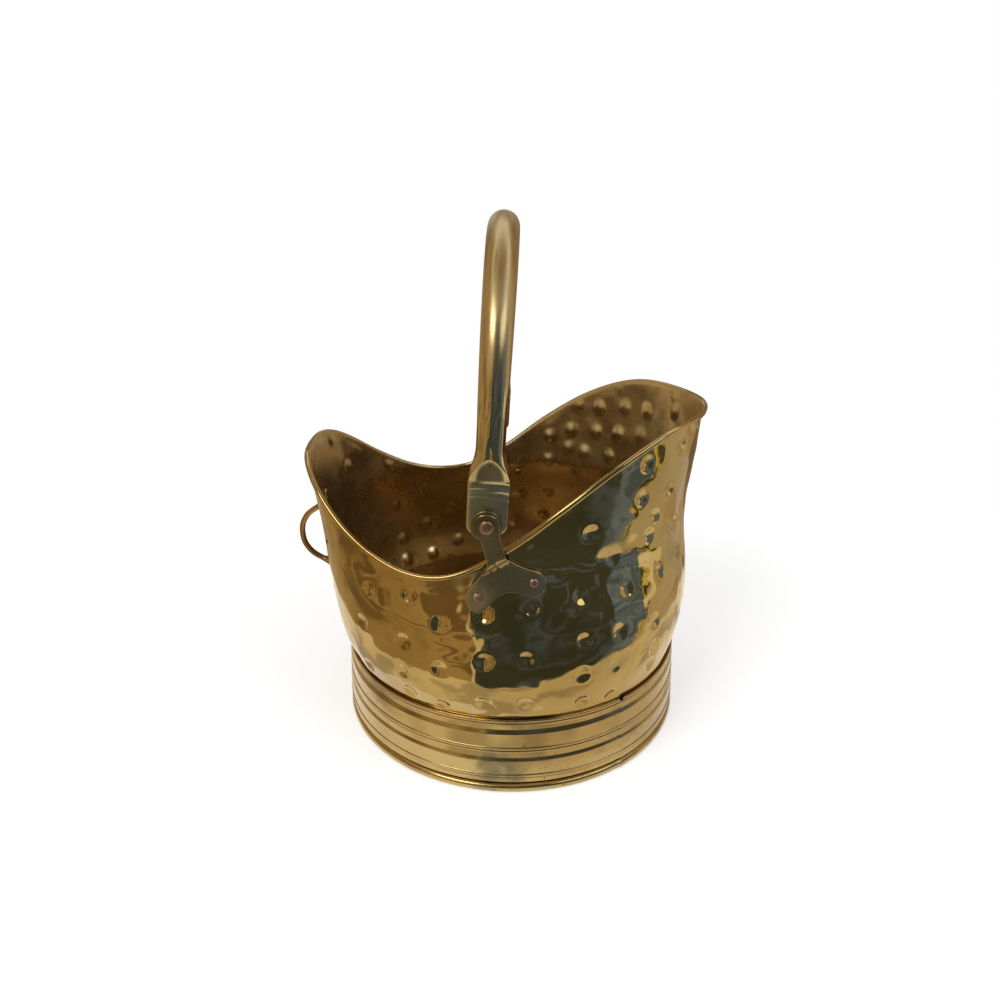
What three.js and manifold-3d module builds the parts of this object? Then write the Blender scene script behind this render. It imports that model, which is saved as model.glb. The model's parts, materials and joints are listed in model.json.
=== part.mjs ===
// Helmet-shaped brass coal scuttle with a swinging bail handle.
//
// Millimetres, +Z up. +X points out of the pouring spout, and the near side is -Y. The scuttle
// stands on its foot at z = 0, with the middle of its overall length and width at x = 0, y = 0.
// Inside this file the shapes are drawn about the foot's own axis, and the last lines shift them.
//
// The body is one hammered sheet. Low down it is a round sleeve inside the foot ring. Above the
// foot it swells into a belly, is drawn in at the sides, and flares towards the spout. Its rim
// dips at the sides and climbs to the back and to the spout, and is rolled outwards over a wire.

import * as THREE from 'three';
import { mergeVertices } from 'three/addons/utils/BufferGeometryUtils.js';
import Module from 'manifold-3d';

const wasm = await Module();
wasm.setup();

// ---- Driving dimensions -------------------------------------------------------------------

// Clearances
const SEAT_GAP = 0.3; // between two pieces that rest on each other
const WALL_SEAT_GAP = 0.75; // from the hammered wall to a plate that lies on its crowns
const RUNNING_CLEARANCE = 0.1; // radial, round a pivot rivet's shank

// Body sheet
const SHEET = 0.7;
const SLEEVE_RADIUS = 121.6; // outside of the round sleeve inside the foot ring
const SLEEVE_BOTTOM = 10;
const SECTION_CENTRE = 10.5; // the widest place of the mouth, ahead of the foot's axis
const BACK_SQUARENESS = 2.57; // superellipse exponents of the mouth seen from above, 2 is round
const FRONT_SQUARENESS = 1.8;
const SHAPING_HEIGHT = 100; // how far above the foot the round section turns into the mouth's

// How far the body swells beyond the sleeve, or is drawn in, at the sides, the spout and the back
const SIDE_BELLY_SWELL = 4.4;
const SIDE_BELLY_HEIGHT = 80;
const SIDE_MIDDLE_DRAW = 3.1;
const SIDE_MIDDLE_HEIGHT = 115;
const SIDE_MOUTH_DRAW = 19.2;
const SIDE_MOUTH_HEIGHT = 158;
const FRONT_BELLY_SWELL = 8;
const FRONT_BELLY_HEIGHT = 106;
const FRONT_THROAT_SWELL = 3.8;
const FRONT_THROAT_HEIGHT = 154;
const SPOUT_NECK_SWELL = 8;
const SPOUT_NECK_HEIGHT = 200;
const SPOUT_FLARE = 10.4;
const BACK_BELLY_SWELL = 6.9;
const BACK_BELLY_HEIGHT = 76;
const BACK_MIDDLE_SWELL = 11.6;
const BACK_MIDDLE_HEIGHT = 130;
const BACK_FLARE = 19.4;

// Height of the rim's top at even steps along the mouth, from the back to the spout
const RIM_HEIGHTS = [206.4, 171, 151.7, 150.5, 168.2, 194.4, 217.8, 233, 235.1];

// Rolled rim and its wire
const RIM_WIRE_RADIUS = 0.9;
const RIM_CURL_END = THREE.MathUtils.degToRad(-110);

// Foot ring and its wire
const FOOT_SHEET = 1;
const FOOT_HEIGHT = 56.8;
const FOOT_STEP_PITCH = 20.8; // from one moulded step to the next
const FOOT_STEP_REACH = 1.1; // how much wider the ring gets at each step
const FOOT_ROLL_REACH = 1.1; // of the rolled edge that it stands on, beyond the widest step
const FOOT_BEAD_HEIGHT = 2.6;
const FOOT_BEAD_RISE = 0.6;
const FOOT_SLOPE_HEIGHT = 8;
const FOOT_WIRE_RADIUS = 1.8;
const FOOT_GROOVE_HEIGHT = 2.6;
const FOOT_CURL_END = THREE.MathUtils.degToRad(126); // round the wire, where the sheet ends
const FOOT_FLAT = 1.6; // width of the flat under the rolled edge, which the foot stands on

// Bottom plate
const PLATE_SHEET = 1;
const PLATE_TOP = 20;
const PLATE_FLANGE = 8;

// Bail handle: a drawn tube with flattened ends
const BAIL_LEAN = THREE.MathUtils.degToRad(3.3); // towards the spout, as it stands
const BAIL_HEIGHT = 173.2; // from the pivots to the top of the grip
const BAIL_STRAIGHT = 62; // from the pivots to where the arch starts
const BAIL_TUBE_WALL = 1.3;
const BAIL_SLIT = 0.4; // between the two pressed walls of a flattened end
const GRIP_RADIUS = 10.4;
const ARM_RADIUS = 8.6;
const EYE_END_WIDTH = 24.8;
const EYE_END_CORNER = 6.2; // radius of its round corners
const EYE_END_DROP = 6.5; // below the pivot
const EYE_END_TOP = 27; // above the pivot
const CRIMP_LENGTH = 22; // from the flattened end to the round tube

// Pivots and brackets
const PIVOT_X = -14.8;
const PIVOT_Z = 186.3;
const PIVOT_SHANK_RADIUS = 3;
const PIVOT_HEAD_RADIUS = 4.6;
const PIVOT_HEAD_HEIGHT = 2;
const PIVOT_TAIL_HEIGHT = 1.5;
const WASHER_RADIUS = 8.2;
const WASHER_THICKNESS = 0.8;
const BRACKET_THICKNESS = 2.2;
const BRACKET_STAND_OFF = 2; // from the rolled rim to the bracket's eye
const BRACKET_TILT_NEAR = THREE.MathUtils.degToRad(14.5); // about square to the sloping rim
const BRACKET_TILT_FAR = THREE.MathUtils.degToRad(3); // fitted by hand, and more upright
const BRACKET_EYE_RADIUS = 10;
const BRACKET_NECK_WIDTH = 12;
const BRACKET_NECK_END = 22; // below the pivot
const BRACKET_EAR_RADIUS = 7.7;
const BRACKET_RIVET_SPACING = 35.7;
const BRACKET_RIVET_DROP = 45.4; // below the pivot, along the bracket
const BRACKET_JOGGLE_START = 8.4; // below the rim's top, where the plate leaves the body
const BRACKET_JOGGLE_END = 4.2;

// Small rivets
const RIVET_SHANK_RADIUS = 2;
const RIVET_HEAD_RADIUS = 2.9;
const RIVET_HEAD_HEIGHT = 1.3;
const RIVET_TAIL_HEIGHT = 1;

// Back loop handle: a round rod with flattened ends
const LOOP_ROD_RADIUS = 2.1;
const LOOP_HEIGHT = 132; // of its middle
const LOOP_HALF_SPAN = 23; // up and down from its middle
const LOOP_DEPTH = 23; // of the rod's middle behind the body
const LOOP_PAD_LENGTH = 17;
const LOOP_PAD_HALF_WIDTH = 7;
const LOOP_PAD_THICKNESS = 2.2;
const LOOP_RIVET_SETBACK = 9.4; // from the rod's bend to the rivet through the pad

// How finely the round shapes are cut
const ROUND_STEPS = 56; // steps round the body and the foot
const RIVET_SIDES = 12;
const HOLE_SIDES = 12;
const WASHER_SIDES = 20;
const BAIL_SIDES = 14;
const LOOP_SIDES = 12;

// ---- Sizes that follow --------------------------------------------------------------------

const [BACK_HEIGHT, SPOUT_HEIGHT] = [RIM_HEIGHTS.at(0), RIM_HEIGHTS.at(-1)];
const CURL_INNER_RADIUS = RIM_WIRE_RADIUS + SEAT_GAP;
const CURL_OUTER_RADIUS = CURL_INNER_RADIUS + SHEET;
const RIM_BEAD_REACH = CURL_INNER_RADIUS + CURL_OUTER_RADIUS; // beyond the body's outside
const FOOT_INNER_RADIUS = SLEEVE_RADIUS + SEAT_GAP;
const FOOT_TOP_RADIUS = FOOT_INNER_RADIUS + FOOT_SHEET;
const FOOT_WIDEST_RADIUS = FOOT_TOP_RADIUS + 2 * FOOT_STEP_REACH;
const SIDE_MOUTH_REACH = SLEEVE_RADIUS - SIDE_MOUTH_DRAW;
const SPOUT_REACH = SLEEVE_RADIUS + SPOUT_FLARE;
const BACK_REACH = SLEEVE_RADIUS + BACK_FLARE;
const RIVET_HOLE_RADIUS = RIVET_SHANK_RADIUS + RUNNING_CLEARANCE;
const PIVOT_HOLE_RADIUS = PIVOT_SHANK_RADIUS + RUNNING_CLEARANCE;
const HOLE_REACH = 2 * (WALL_SEAT_GAP + BRACKET_THICKNESS + LOOP_PAD_THICKNESS); // to each side
const EYE_END_THICKNESS = 2 * BAIL_TUBE_WALL + BAIL_SLIT;

// ---- Geometry helpers ---------------------------------------------------------------------

// A smooth curve of value against position through the points [position, value].
function smoothThrough(points) {
  const curve = new THREE.CubicInterpolant(points.map((p) => p[0]), points.map((p) => p[1]), 1);
  return (position) => curve.evaluate(position)[0];
}

// The same, for a curve that never swings past its points: it is level at each turning point.
function steadyThrough(points) {
  const rises = points.slice(1).map(([x, y], i) => (y - points[i][1]) / (x - points[i][0]));
  const slopes = points.map((_, i) => {
    const [before, after] = [rises[i - 1] ?? rises[i], rises[i] ?? rises[i - 1]];
    return before * after > 0 ? (2 * before * after) / (before + after) : 0;
  });
  return (position) => {
    const above = points.slice(1, -1).findIndex(([x]) => x > position);
    const i = above < 0 ? points.length - 2 : above;
    const [[x, y], [nextX, nextY]] = [points[i], points[i + 1]];
    const [span, rise] = [nextX - x, nextY - y];
    const t = (position - x) / span;
    const [start, end] = [slopes[i] * span, slopes[i + 1] * span];
    return y + t * (start + t * (3 * rise - 2 * start - end + t * (start + end - 2 * rise)));
  };
}

// A closed solid whose rings of points are joined one to the next. Each ring turns right-handed
// about the way to the next. The rings close on the first one, or flat caps close the two ends.
function solidFromRings(rings, { closed }) {
  const count = rings[0].length;
  const points = rings.flat();
  const faces = [];
  const steps = closed ? rings.length : rings.length - 1;
  for (let i = 0; i < steps; i++) {
    const next = (i + 1) % rings.length;
    for (let j = 0; j < count; j++) {
      const side = (j + 1) % count;
      const [a, b] = [i * count + j, i * count + side];
      const [c, d] = [next * count + side, next * count + j];
      const shortWay = points[a].distanceTo(points[c]) < points[b].distanceTo(points[d]);
      faces.push(...(shortWay ? [a, b, c, a, c, d] : [a, b, d, b, c, d]));
    }
  }
  if (!closed) {
    const last = (rings.length - 1) * count;
    for (let j = 1; j < count - 1; j++) {
      faces.push(0, j + 1, j, last, last + j, last + j + 1);
    }
  }
  const geometry = new THREE.BufferGeometry().setFromPoints(points);
  geometry.setIndex(faces);
  return geometry;
}

function toManifold(geometry) {
  const bare = geometry.clone();
  bare.deleteAttribute('normal');
  bare.deleteAttribute('uv');
  const merged = mergeVertices(bare, 1e-4);
  const mesh = new wasm.Mesh({
    numProp: 3,
    vertProperties: new Float32Array(merged.attributes.position.array),
    triVerts: new Uint32Array(merged.index.array),
  });
  return new wasm.Manifold(mesh);
}

function toGeometry(solid) {
  const mesh = solid.getMesh();
  const geometry = new THREE.BufferGeometry();
  geometry.setAttribute('position', new THREE.BufferAttribute(mesh.vertProperties, 3));
  geometry.setIndex(new THREE.BufferAttribute(mesh.triVerts, 1));
  return geometry;
}

// The same shape on the other side of the scuttle.
function mirrored(geometry) {
  const other = geometry.clone();
  const position = other.attributes.position;
  for (let i = 0; i < position.count; i++) position.setY(i, -position.getY(i));
  const index = other.index.array;
  for (let i = 0; i < index.length; i += 3) {
    [index[i + 1], index[i + 2]] = [index[i + 2], index[i + 1]];
  }
  return other;
}

// A turned solid: its profile of [radius, height] goes round the axis it stands on.
function turned(profile, segments) {
  const lathe = new THREE.LatheGeometry(profile.map(([r, z]) => new THREE.Vector2(r, z)), segments);
  return lathe.rotateX(Math.PI / 2);
}

// Points of an arc round [radius, height], for a turned profile.
function arc([r, z], radius, from, to, steps) {
  return Array.from({ length: steps + 1 }, (_, i) => {
    const angle = from + ((to - from) * i) / steps;
    return [r + radius * Math.cos(angle), z + radius * Math.sin(angle)];
  });
}

// ---- Body surface -------------------------------------------------------------------------

const sideReach = steadyThrough([
  [FOOT_HEIGHT, SLEEVE_RADIUS],
  [SIDE_BELLY_HEIGHT, SLEEVE_RADIUS + SIDE_BELLY_SWELL],
  [SIDE_MIDDLE_HEIGHT, SLEEVE_RADIUS - SIDE_MIDDLE_DRAW],
  [SIDE_MOUTH_HEIGHT, SIDE_MOUTH_REACH],
  [SPOUT_HEIGHT, SIDE_MOUTH_REACH],
]);
const frontReach = steadyThrough([
  [FOOT_HEIGHT, SLEEVE_RADIUS],
  [FRONT_BELLY_HEIGHT, SLEEVE_RADIUS + FRONT_BELLY_SWELL],
  [FRONT_THROAT_HEIGHT, SLEEVE_RADIUS + FRONT_THROAT_SWELL],
  [SPOUT_NECK_HEIGHT, SLEEVE_RADIUS + SPOUT_NECK_SWELL],
  [SPOUT_HEIGHT, SPOUT_REACH],
]);
const backReach = steadyThrough([
  [FOOT_HEIGHT, SLEEVE_RADIUS],
  [BACK_BELLY_HEIGHT, SLEEVE_RADIUS + BACK_BELLY_SWELL],
  [BACK_MIDDLE_HEIGHT, SLEEVE_RADIUS + BACK_MIDDLE_SWELL],
  [BACK_HEIGHT, BACK_REACH],
]);

// The plan section at a height: its centre, its reach from there, and its squareness.
function section(z, towardsSpout) {
  const shaping = THREE.MathUtils.smoothstep(z, FOOT_HEIGHT, FOOT_HEIGHT + SHAPING_HEIGHT);
  const centre = SECTION_CENTRE * shaping;
  const reach = towardsSpout ? frontReach(z) - centre : backReach(z) + centre;
  const squareness = towardsSpout ? FRONT_SQUARENESS : BACK_SQUARENESS;
  return { centre, reach, width: sideReach(z), power: 2 + (squareness - 2) * shaping };
}

// A point of the body's outside at an angle round the section, 0 at the spout, and a height.
function bodyPoint(angle, z) {
  const [c, s] = [Math.cos(angle), Math.sin(angle)];
  const { centre, reach, width, power } = section(z, c > 0);
  const x = centre + reach * Math.sign(c) * Math.abs(c) ** (2 / power);
  const y = width * Math.sign(s) * Math.abs(s) ** (2 / power);
  return new THREE.Vector3(x, y, z);
}

// Half the body's width at a place along it and a height.
function bodySide(x, z) {
  const { centre, reach, width, power } = section(z, x > section(z, true).centre);
  return width * (1 - Math.abs((x - centre) / reach) ** power) ** (1 / power);
}

const rimTop = smoothThrough(
  RIM_HEIGHTS.map((height, i) => {
    const part = i / (RIM_HEIGHTS.length - 1);
    return [THREE.MathUtils.lerp(-BACK_REACH, SPOUT_REACH, part), height];
  }),
);

// Where the wall ends and the curl starts, at an angle: the height there feeds back on the place.
function wallTop(angle) {
  const rounds = 30;
  let z = BACK_HEIGHT;
  for (let i = 0; i < rounds; i++) z = rimTop(bodyPoint(angle, z).x) - CURL_OUTER_RADIUS;
  return z;
}

function outwards(angle, z) {
  const step = 1e-3;
  const along = bodyPoint(angle + step, z).sub(bodyPoint(angle - step, z));
  const up = bodyPoint(angle, z + step).sub(bodyPoint(angle, z - step));
  return along.cross(up).normalize();
}

// The curl's frame at an angle: the middle of the wire, outwards, and up along the wall.
function rimFrame(angle) {
  const step = 1e-3;
  const ahead = bodyPoint(angle + step, wallTop(angle + step));
  const behind = bodyPoint(angle - step, wallTop(angle - step));
  const along = ahead.sub(behind).normalize();
  const out = outwards(angle, wallTop(angle));
  const up = out.clone().cross(along).normalize();
  if (up.z < 0) up.negate();
  const wall = bodyPoint(angle, wallTop(angle));
  return { centre: wall.addScaledVector(out, CURL_INNER_RADIUS), out, up };
}

function aroundWire({ centre, out, up }, radius, turn) {
  return centre
    .clone()
    .addScaledVector(out, radius * Math.cos(turn))
    .addScaledVector(up, radius * Math.sin(turn));
}

function angles(steps) {
  return Array.from({ length: steps }, (_, i) => (2 * Math.PI * i) / steps);
}

// ---- Body shell and rim wire --------------------------------------------------------------

// The sheet's section at an angle: up the inside, over the curl, back, and down the outside.
function sheetSection(angle) {
  const wallSteps = 10;
  const curlSteps = 5;
  const top = wallTop(angle);
  const heights = Array.from({ length: wallSteps }, (_, i) => {
    return FOOT_HEIGHT + ((top - FOOT_HEIGHT) * i) / (wallSteps - 1);
  });
  const frame = rimFrame(angle);
  const turns = Array.from({ length: curlSteps }, (_, i) => {
    return Math.PI + ((RIM_CURL_END - Math.PI) * (i + 1)) / curlSteps;
  });
  const sleeve = (radius, z) => {
    return new THREE.Vector3(radius * Math.cos(angle), radius * Math.sin(angle), z);
  };
  const outside = heights.map((z) => bodyPoint(angle, z));
  const inside = heights.map((z) => bodyPoint(angle, z).addScaledVector(outwards(angle, z), -SHEET));
  inside[0] = sleeve(SLEEVE_RADIUS - SHEET, FOOT_HEIGHT);
  return [
    sleeve(SLEEVE_RADIUS - SHEET, SLEEVE_BOTTOM),
    ...inside,
    ...turns.map((turn) => aroundWire(frame, CURL_OUTER_RADIUS, turn)),
    ...turns.map((turn) => aroundWire(frame, CURL_INNER_RADIUS, turn)).reverse(),
    ...outside.reverse(),
    sleeve(SLEEVE_RADIUS, SLEEVE_BOTTOM),
  ];
}

function bodySheet() {
  return solidFromRings(angles(ROUND_STEPS).map(sheetSection), { closed: true });
}

function rimWire() {
  const wireSides = 6;
  const rings = angles(ROUND_STEPS).map((angle) => {
    const frame = rimFrame(angle);
    return angles(wireSides).map((turn) => aroundWire(frame, RIM_WIRE_RADIUS, -turn));
  });
  return solidFromRings(rings, { closed: true });
}

// ---- Foot ring, its wire and the bottom plate ---------------------------------------------

const FOOT_CURL_INNER = FOOT_WIRE_RADIUS + SEAT_GAP;
const FOOT_CURL_OUTER = FOOT_CURL_INNER + FOOT_SHEET;
const FOOT_CURL_RADIUS = FOOT_WIDEST_RADIUS + FOOT_ROLL_REACH - FOOT_CURL_OUTER; // of its middle

// One moulded step: a small bead, then a slope that widens the ring.
function footStep(top, radius) {
  const slopeTop = top - FOOT_BEAD_HEIGHT;
  return [
    [radius, top],
    [radius + FOOT_BEAD_RISE, top - FOOT_BEAD_HEIGHT / 2],
    [radius, slopeTop],
    [radius + FOOT_STEP_REACH, slopeTop - FOOT_SLOPE_HEIGHT],
  ];
}

function footRing() {
  const steps = [0, 1].map((i) => {
    return footStep(FOOT_HEIGHT - i * FOOT_STEP_PITCH, FOOT_TOP_RADIUS + i * FOOT_STEP_REACH);
  });
  const curlTop = 2 * FOOT_CURL_OUTER;
  const lowestTop = FOOT_HEIGHT - 2 * FOOT_STEP_PITCH;
  const widest = FOOT_WIDEST_RADIUS;
  const curl = [FOOT_CURL_RADIUS, FOOT_CURL_OUTER];
  const wallRadius = FOOT_CURL_RADIUS - FOOT_CURL_INNER; // outside of the sheet above the curl
  const below = -Math.PI / 2;
  const flatAngle = Math.asin(FOOT_FLAT / 2 / FOOT_CURL_OUTER);
  const flatRise = FOOT_CURL_OUTER * (1 - Math.cos(flatAngle)); // of the arc at the flat's edges
  const outerCurl = [
    ...arc(curl, FOOT_CURL_OUTER, FOOT_CURL_END, below + flatAngle, 4),
    ...arc(curl, FOOT_CURL_OUTER, below - flatAngle, -Math.PI, 2),
  ].map(([r, z]) => [r, z < 1.01 * flatRise ? 0 : z]);
  const outside = [
    ...steps.flat(),
    [widest, lowestTop],
    [widest + FOOT_BEAD_RISE, lowestTop - FOOT_BEAD_HEIGHT / 2],
    [widest, lowestTop - FOOT_BEAD_HEIGHT],
    [widest, curlTop + FOOT_GROOVE_HEIGHT],
    [wallRadius, curlTop],
  ];
  const inside = [
    [wallRadius - FOOT_SHEET, curlTop],
    [widest - FOOT_SHEET, curlTop + FOOT_GROOVE_HEIGHT],
    [widest - FOOT_SHEET, lowestTop + FOOT_STEP_PITCH - FOOT_BEAD_HEIGHT - FOOT_SLOPE_HEIGHT],
    [FOOT_INNER_RADIUS + FOOT_STEP_REACH, lowestTop + FOOT_STEP_PITCH - FOOT_BEAD_HEIGHT],
    [FOOT_INNER_RADIUS + FOOT_STEP_REACH, FOOT_HEIGHT - FOOT_BEAD_HEIGHT - FOOT_SLOPE_HEIGHT],
    [FOOT_INNER_RADIUS, FOOT_HEIGHT - FOOT_BEAD_HEIGHT],
    [FOOT_INNER_RADIUS, FOOT_HEIGHT],
  ];
  const innerCurl = arc(curl, FOOT_CURL_INNER, -Math.PI, FOOT_CURL_END, 6);
  const profile = [...outside, ...innerCurl, ...outerCurl, ...inside];
  return turned([...profile, profile[0]].reverse(), ROUND_STEPS);
}

function footWire() {
  const wire = new THREE.TorusGeometry(FOOT_CURL_RADIUS, FOOT_WIRE_RADIUS, 6, ROUND_STEPS);
  return wire.translate(0, 0, FOOT_CURL_OUTER);
}

// A pressed disc with a turned-down flange inside the sleeve.
function bottomPlate() {
  const radius = SLEEVE_RADIUS - SHEET - SEAT_GAP;
  const bottom = PLATE_TOP - PLATE_FLANGE;
  const under = PLATE_TOP - PLATE_SHEET;
  const profile = [
    [0, under],
    [radius - PLATE_SHEET, under],
    [radius - PLATE_SHEET, bottom],
    [radius, bottom],
    [radius, PLATE_TOP - PLATE_SHEET / 2],
    [radius - PLATE_SHEET / 2, PLATE_TOP],
    [0, PLATE_TOP],
  ];
  return turned(profile, ROUND_STEPS);
}

// ---- Brackets -----------------------------------------------------------------------------

// The inner face of the bracket's eye
const EYE_INNER_Y = bodySide(PIVOT_X, PIVOT_Z) + RIM_BEAD_REACH + BRACKET_STAND_OFF;

// The bracket's inner face at a place along the body and a depth below the rim's top: it lies on
// the body low down, is joggled out below the rolled rim, and is flat from there up.
function bracketInner(x, depth) {
  const z = rimTop(x) - depth;
  if (depth <= BRACKET_JOGGLE_END) return new THREE.Vector3(x, EYE_INNER_Y, z);
  const body = bodySide(x, z) + WALL_SEAT_GAP;
  const leave = 1 - THREE.MathUtils.smoothstep(depth, BRACKET_JOGGLE_END, BRACKET_JOGGLE_START);
  return new THREE.Vector3(x, THREE.MathUtils.lerp(body, EYE_INNER_Y, leave), z);
}

// A sheet blank bent over the body's side and over the rim, before its outline is cut.
function bracketBlank() {
  const columns = 12;
  // A tilted bracket's ears lie ahead of its pivot, so the blank reaches further that way.
  const [back, front] = [-0.8 * BRACKET_RIVET_SPACING, 1.2 * BRACKET_RIVET_SPACING];
  const deepest = BRACKET_RIVET_DROP + 2.5 * BRACKET_EAR_RADIUS;
  const [start, end] = [BRACKET_JOGGLE_START, BRACKET_JOGGLE_END];
  const onBody = [0, 0.15, 0.3, 0.45, 0.6, 0.8, 1].map((t) => deepest + (start - deepest) * t);
  const depths = [...onBody, (2 * start + end) / 3, (start + 2 * end) / 3, end, -deepest];
  const rows = depths.map((depth) => {
    const inner = Array.from({ length: columns + 1 }, (_, i) => {
      return bracketInner(PIVOT_X + THREE.MathUtils.lerp(back, front, i / columns), depth);
    });
    const outer = inner.map((p) => p.clone().setY(p.y + BRACKET_THICKNESS));
    return [...inner, ...outer.reverse()];
  });
  return toManifold(solidFromRings(rows, { closed: false }));
}

const EAR_NOTCH = THREE.MathUtils.degToRad(-117); // round the front ear, where the notch starts
const EAR_SHOULDER = THREE.MathUtils.degToRad(58); // and where the edge up to the neck starts

// The three-lobed outline, with the pivot's eye at 0, 0 and the ears below it.
function bracketOutline() {
  const [neck, ear] = [BRACKET_NECK_WIDTH / 2, BRACKET_EAR_RADIUS];
  const [earX, earY] = [BRACKET_RIVET_SPACING / 2, -BRACKET_RIVET_DROP];
  const opening = Math.asin(neck / BRACKET_EYE_RADIUS);
  const below = -Math.PI / 2;
  const notch = earY - ear / 8;
  const low = [ear * Math.cos(EAR_NOTCH), ear * Math.sin(EAR_NOTCH)];
  const high = [ear * Math.cos(EAR_SHOULDER), ear * Math.sin(EAR_SHOULDER)];
  const handle = [earX + high[0] - high[1], earY + high[1] + high[0]]; // square to the ear there
  const flare = earY + 2.1 * ear;
  const shape = new THREE.Shape();
  shape.absarc(0, 0, BRACKET_EYE_RADIUS, below + opening, below - opening + 2 * Math.PI, false);
  shape.lineTo(-neck, -BRACKET_NECK_END);
  shape.bezierCurveTo(-neck, flare, -handle[0], handle[1], -earX - high[0], earY + high[1]);
  shape.absarc(-earX, earY, ear, Math.PI - EAR_SHOULDER, Math.PI - EAR_NOTCH, false);
  shape.quadraticCurveTo(-earX / 3, notch, 0, notch);
  shape.quadraticCurveTo(earX / 3, notch, earX + low[0], earY + low[1]);
  shape.absarc(earX, earY, ear, EAR_NOTCH, EAR_SHOULDER, false);
  shape.bezierCurveTo(handle[0], handle[1], neck, flare, neck, -BRACKET_NECK_END);
  return shape;
}

// Where the rivets of a tilted bracket go, front and back, as [along the body, height].
function bracketRivetPlaces(tilt) {
  return [1, -1].map((side) => {
    const [p, q] = [(side * BRACKET_RIVET_SPACING) / 2, -BRACKET_RIVET_DROP];
    const [c, s] = [Math.cos(tilt), Math.sin(tilt)];
    return [PIVOT_X + p * c - q * s, PIVOT_Z + p * s + q * c];
  });
}

// What is cut away for a round hole, from one distance to another along a direction. Its flats,
// not its corners, are at the radius.
function holeAt(radius, from, to, point, direction) {
  const corner = radius / Math.cos(Math.PI / HOLE_SIDES);
  const rod = new THREE.CylinderGeometry(corner, corner, to - from, HOLE_SIDES);
  rod.rotateX(Math.PI / 2).translate(0, 0, (from + to) / 2);
  return toManifold(stood(rod, point, direction));
}

function rivetHole({ point, direction }) {
  return holeAt(RIVET_HOLE_RADIUS, -HOLE_REACH, HOLE_REACH, point, direction);
}

function stood(geometry, point, direction) {
  const turn = new THREE.Quaternion().setFromUnitVectors(new THREE.Vector3(0, 0, 1), direction);
  return geometry.applyQuaternion(turn).translate(point.x, point.y, point.z);
}

// The body's outside and its direction where a rivet goes through the far side.
function sideSeat([x, z]) {
  const step = 1e-3;
  const slopeX = (bodySide(x + step, z) - bodySide(x - step, z)) / (2 * step);
  const slopeZ = (bodySide(x, z + step) - bodySide(x, z - step)) / (2 * step);
  const direction = new THREE.Vector3(-slopeX, 1, -slopeZ).normalize();
  return { point: new THREE.Vector3(x, bodySide(x, z), z), direction };
}

const Y_OUT = new THREE.Vector3(0, 1, 0);
const PIVOT_POINT = new THREE.Vector3(PIVOT_X, 0, PIVOT_Z);

// A bracket as it would sit on the far side.
function bracket(tilt) {
  const depth = 2 * (SIDE_BELLY_SWELL + SIDE_MOUTH_DRAW); // the cut goes right across the bend
  const outline = new THREE.ExtrudeGeometry(bracketOutline(), {
    depth,
    bevelEnabled: false,
    curveSegments: 8,
  });
  outline.rotateX(Math.PI / 2); // its up is the scuttle's up, and its depth runs along -Y
  outline.rotateY(-tilt).translate(PIVOT_X, EYE_INNER_Y + depth / 2, PIVOT_Z);
  let plate = bracketBlank().intersect(toManifold(outline));
  plate = plate.subtract(holeAt(PIVOT_HOLE_RADIUS, 0, 2 * EYE_INNER_Y, PIVOT_POINT, Y_OUT));
  for (const place of bracketRivetPlaces(tilt)) plate = plate.subtract(rivetHole(sideSeat(place)));
  return toGeometry(plate);
}

// ---- Rivets and washers -------------------------------------------------------------------

// A dome's outline from its rim to just short of its top, as [radius, height].
function dome(radius, height, steps) {
  return Array.from({ length: steps }, (_, i) => {
    const angle = (Math.PI / 2) * (i / steps);
    return [radius * Math.cos(angle), height * Math.sin(angle)];
  });
}

// A rivet with a domed head and a flatter peened tail, gripping from `under` to `over` along +Z.
function rivet({ shank, head, headHeight, tail, tailHeight, under, over }) {
  const profile = [
    [0, under - tailHeight],
    ...dome(tail, tailHeight, 2).reverse().map(([r, z]) => [r, under - z]),
    [shank, under],
    [shank, over],
    ...dome(head, headHeight, 3).map(([r, z]) => [r, over + z]),
    [0, over + headHeight],
  ];
  return turned(profile, RIVET_SIDES);
}

// A small rivet through the sheet and a plate of a given thickness lying on it.
function sheetRivet(seat, plate) {
  const geometry = rivet({
    shank: RIVET_SHANK_RADIUS,
    head: RIVET_HEAD_RADIUS,
    headHeight: RIVET_HEAD_HEIGHT,
    tail: RIVET_HEAD_RADIUS,
    tailHeight: RIVET_TAIL_HEIGHT,
    under: -SHEET - SEAT_GAP,
    over: WALL_SEAT_GAP + plate + SEAT_GAP,
  });
  return stood(geometry, seat.point, seat.direction);
}

// The stack at the far pivot, from the inside out: tail, washer, handle end, eye, washer, head.
const EYE_END_Y = EYE_INNER_Y - SEAT_GAP - EYE_END_THICKNESS / 2; // middle of the handle's flat end
const INNER_WASHER_Y = EYE_INNER_Y - 2 * SEAT_GAP - EYE_END_THICKNESS - WASHER_THICKNESS;
const OUTER_WASHER_Y = EYE_INNER_Y + BRACKET_THICKNESS + SEAT_GAP;

function pivotRivet() {
  const geometry = rivet({
    shank: PIVOT_SHANK_RADIUS,
    head: PIVOT_HEAD_RADIUS,
    headHeight: PIVOT_HEAD_HEIGHT,
    tail: PIVOT_HEAD_RADIUS,
    tailHeight: PIVOT_TAIL_HEIGHT,
    under: INNER_WASHER_Y - SEAT_GAP,
    over: OUTER_WASHER_Y + WASHER_THICKNESS + SEAT_GAP,
  });
  return stood(geometry, PIVOT_POINT, Y_OUT);
}

function washer(y) {
  const profile = [
    [PIVOT_HOLE_RADIUS, y],
    [WASHER_RADIUS, y],
    [WASHER_RADIUS, y + WASHER_THICKNESS],
    [PIVOT_HOLE_RADIUS, y + WASHER_THICKNESS],
    [PIVOT_HOLE_RADIUS, y],
  ];
  return stood(turned(profile, WASHER_SIDES), PIVOT_POINT, Y_OUT);
}

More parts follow.
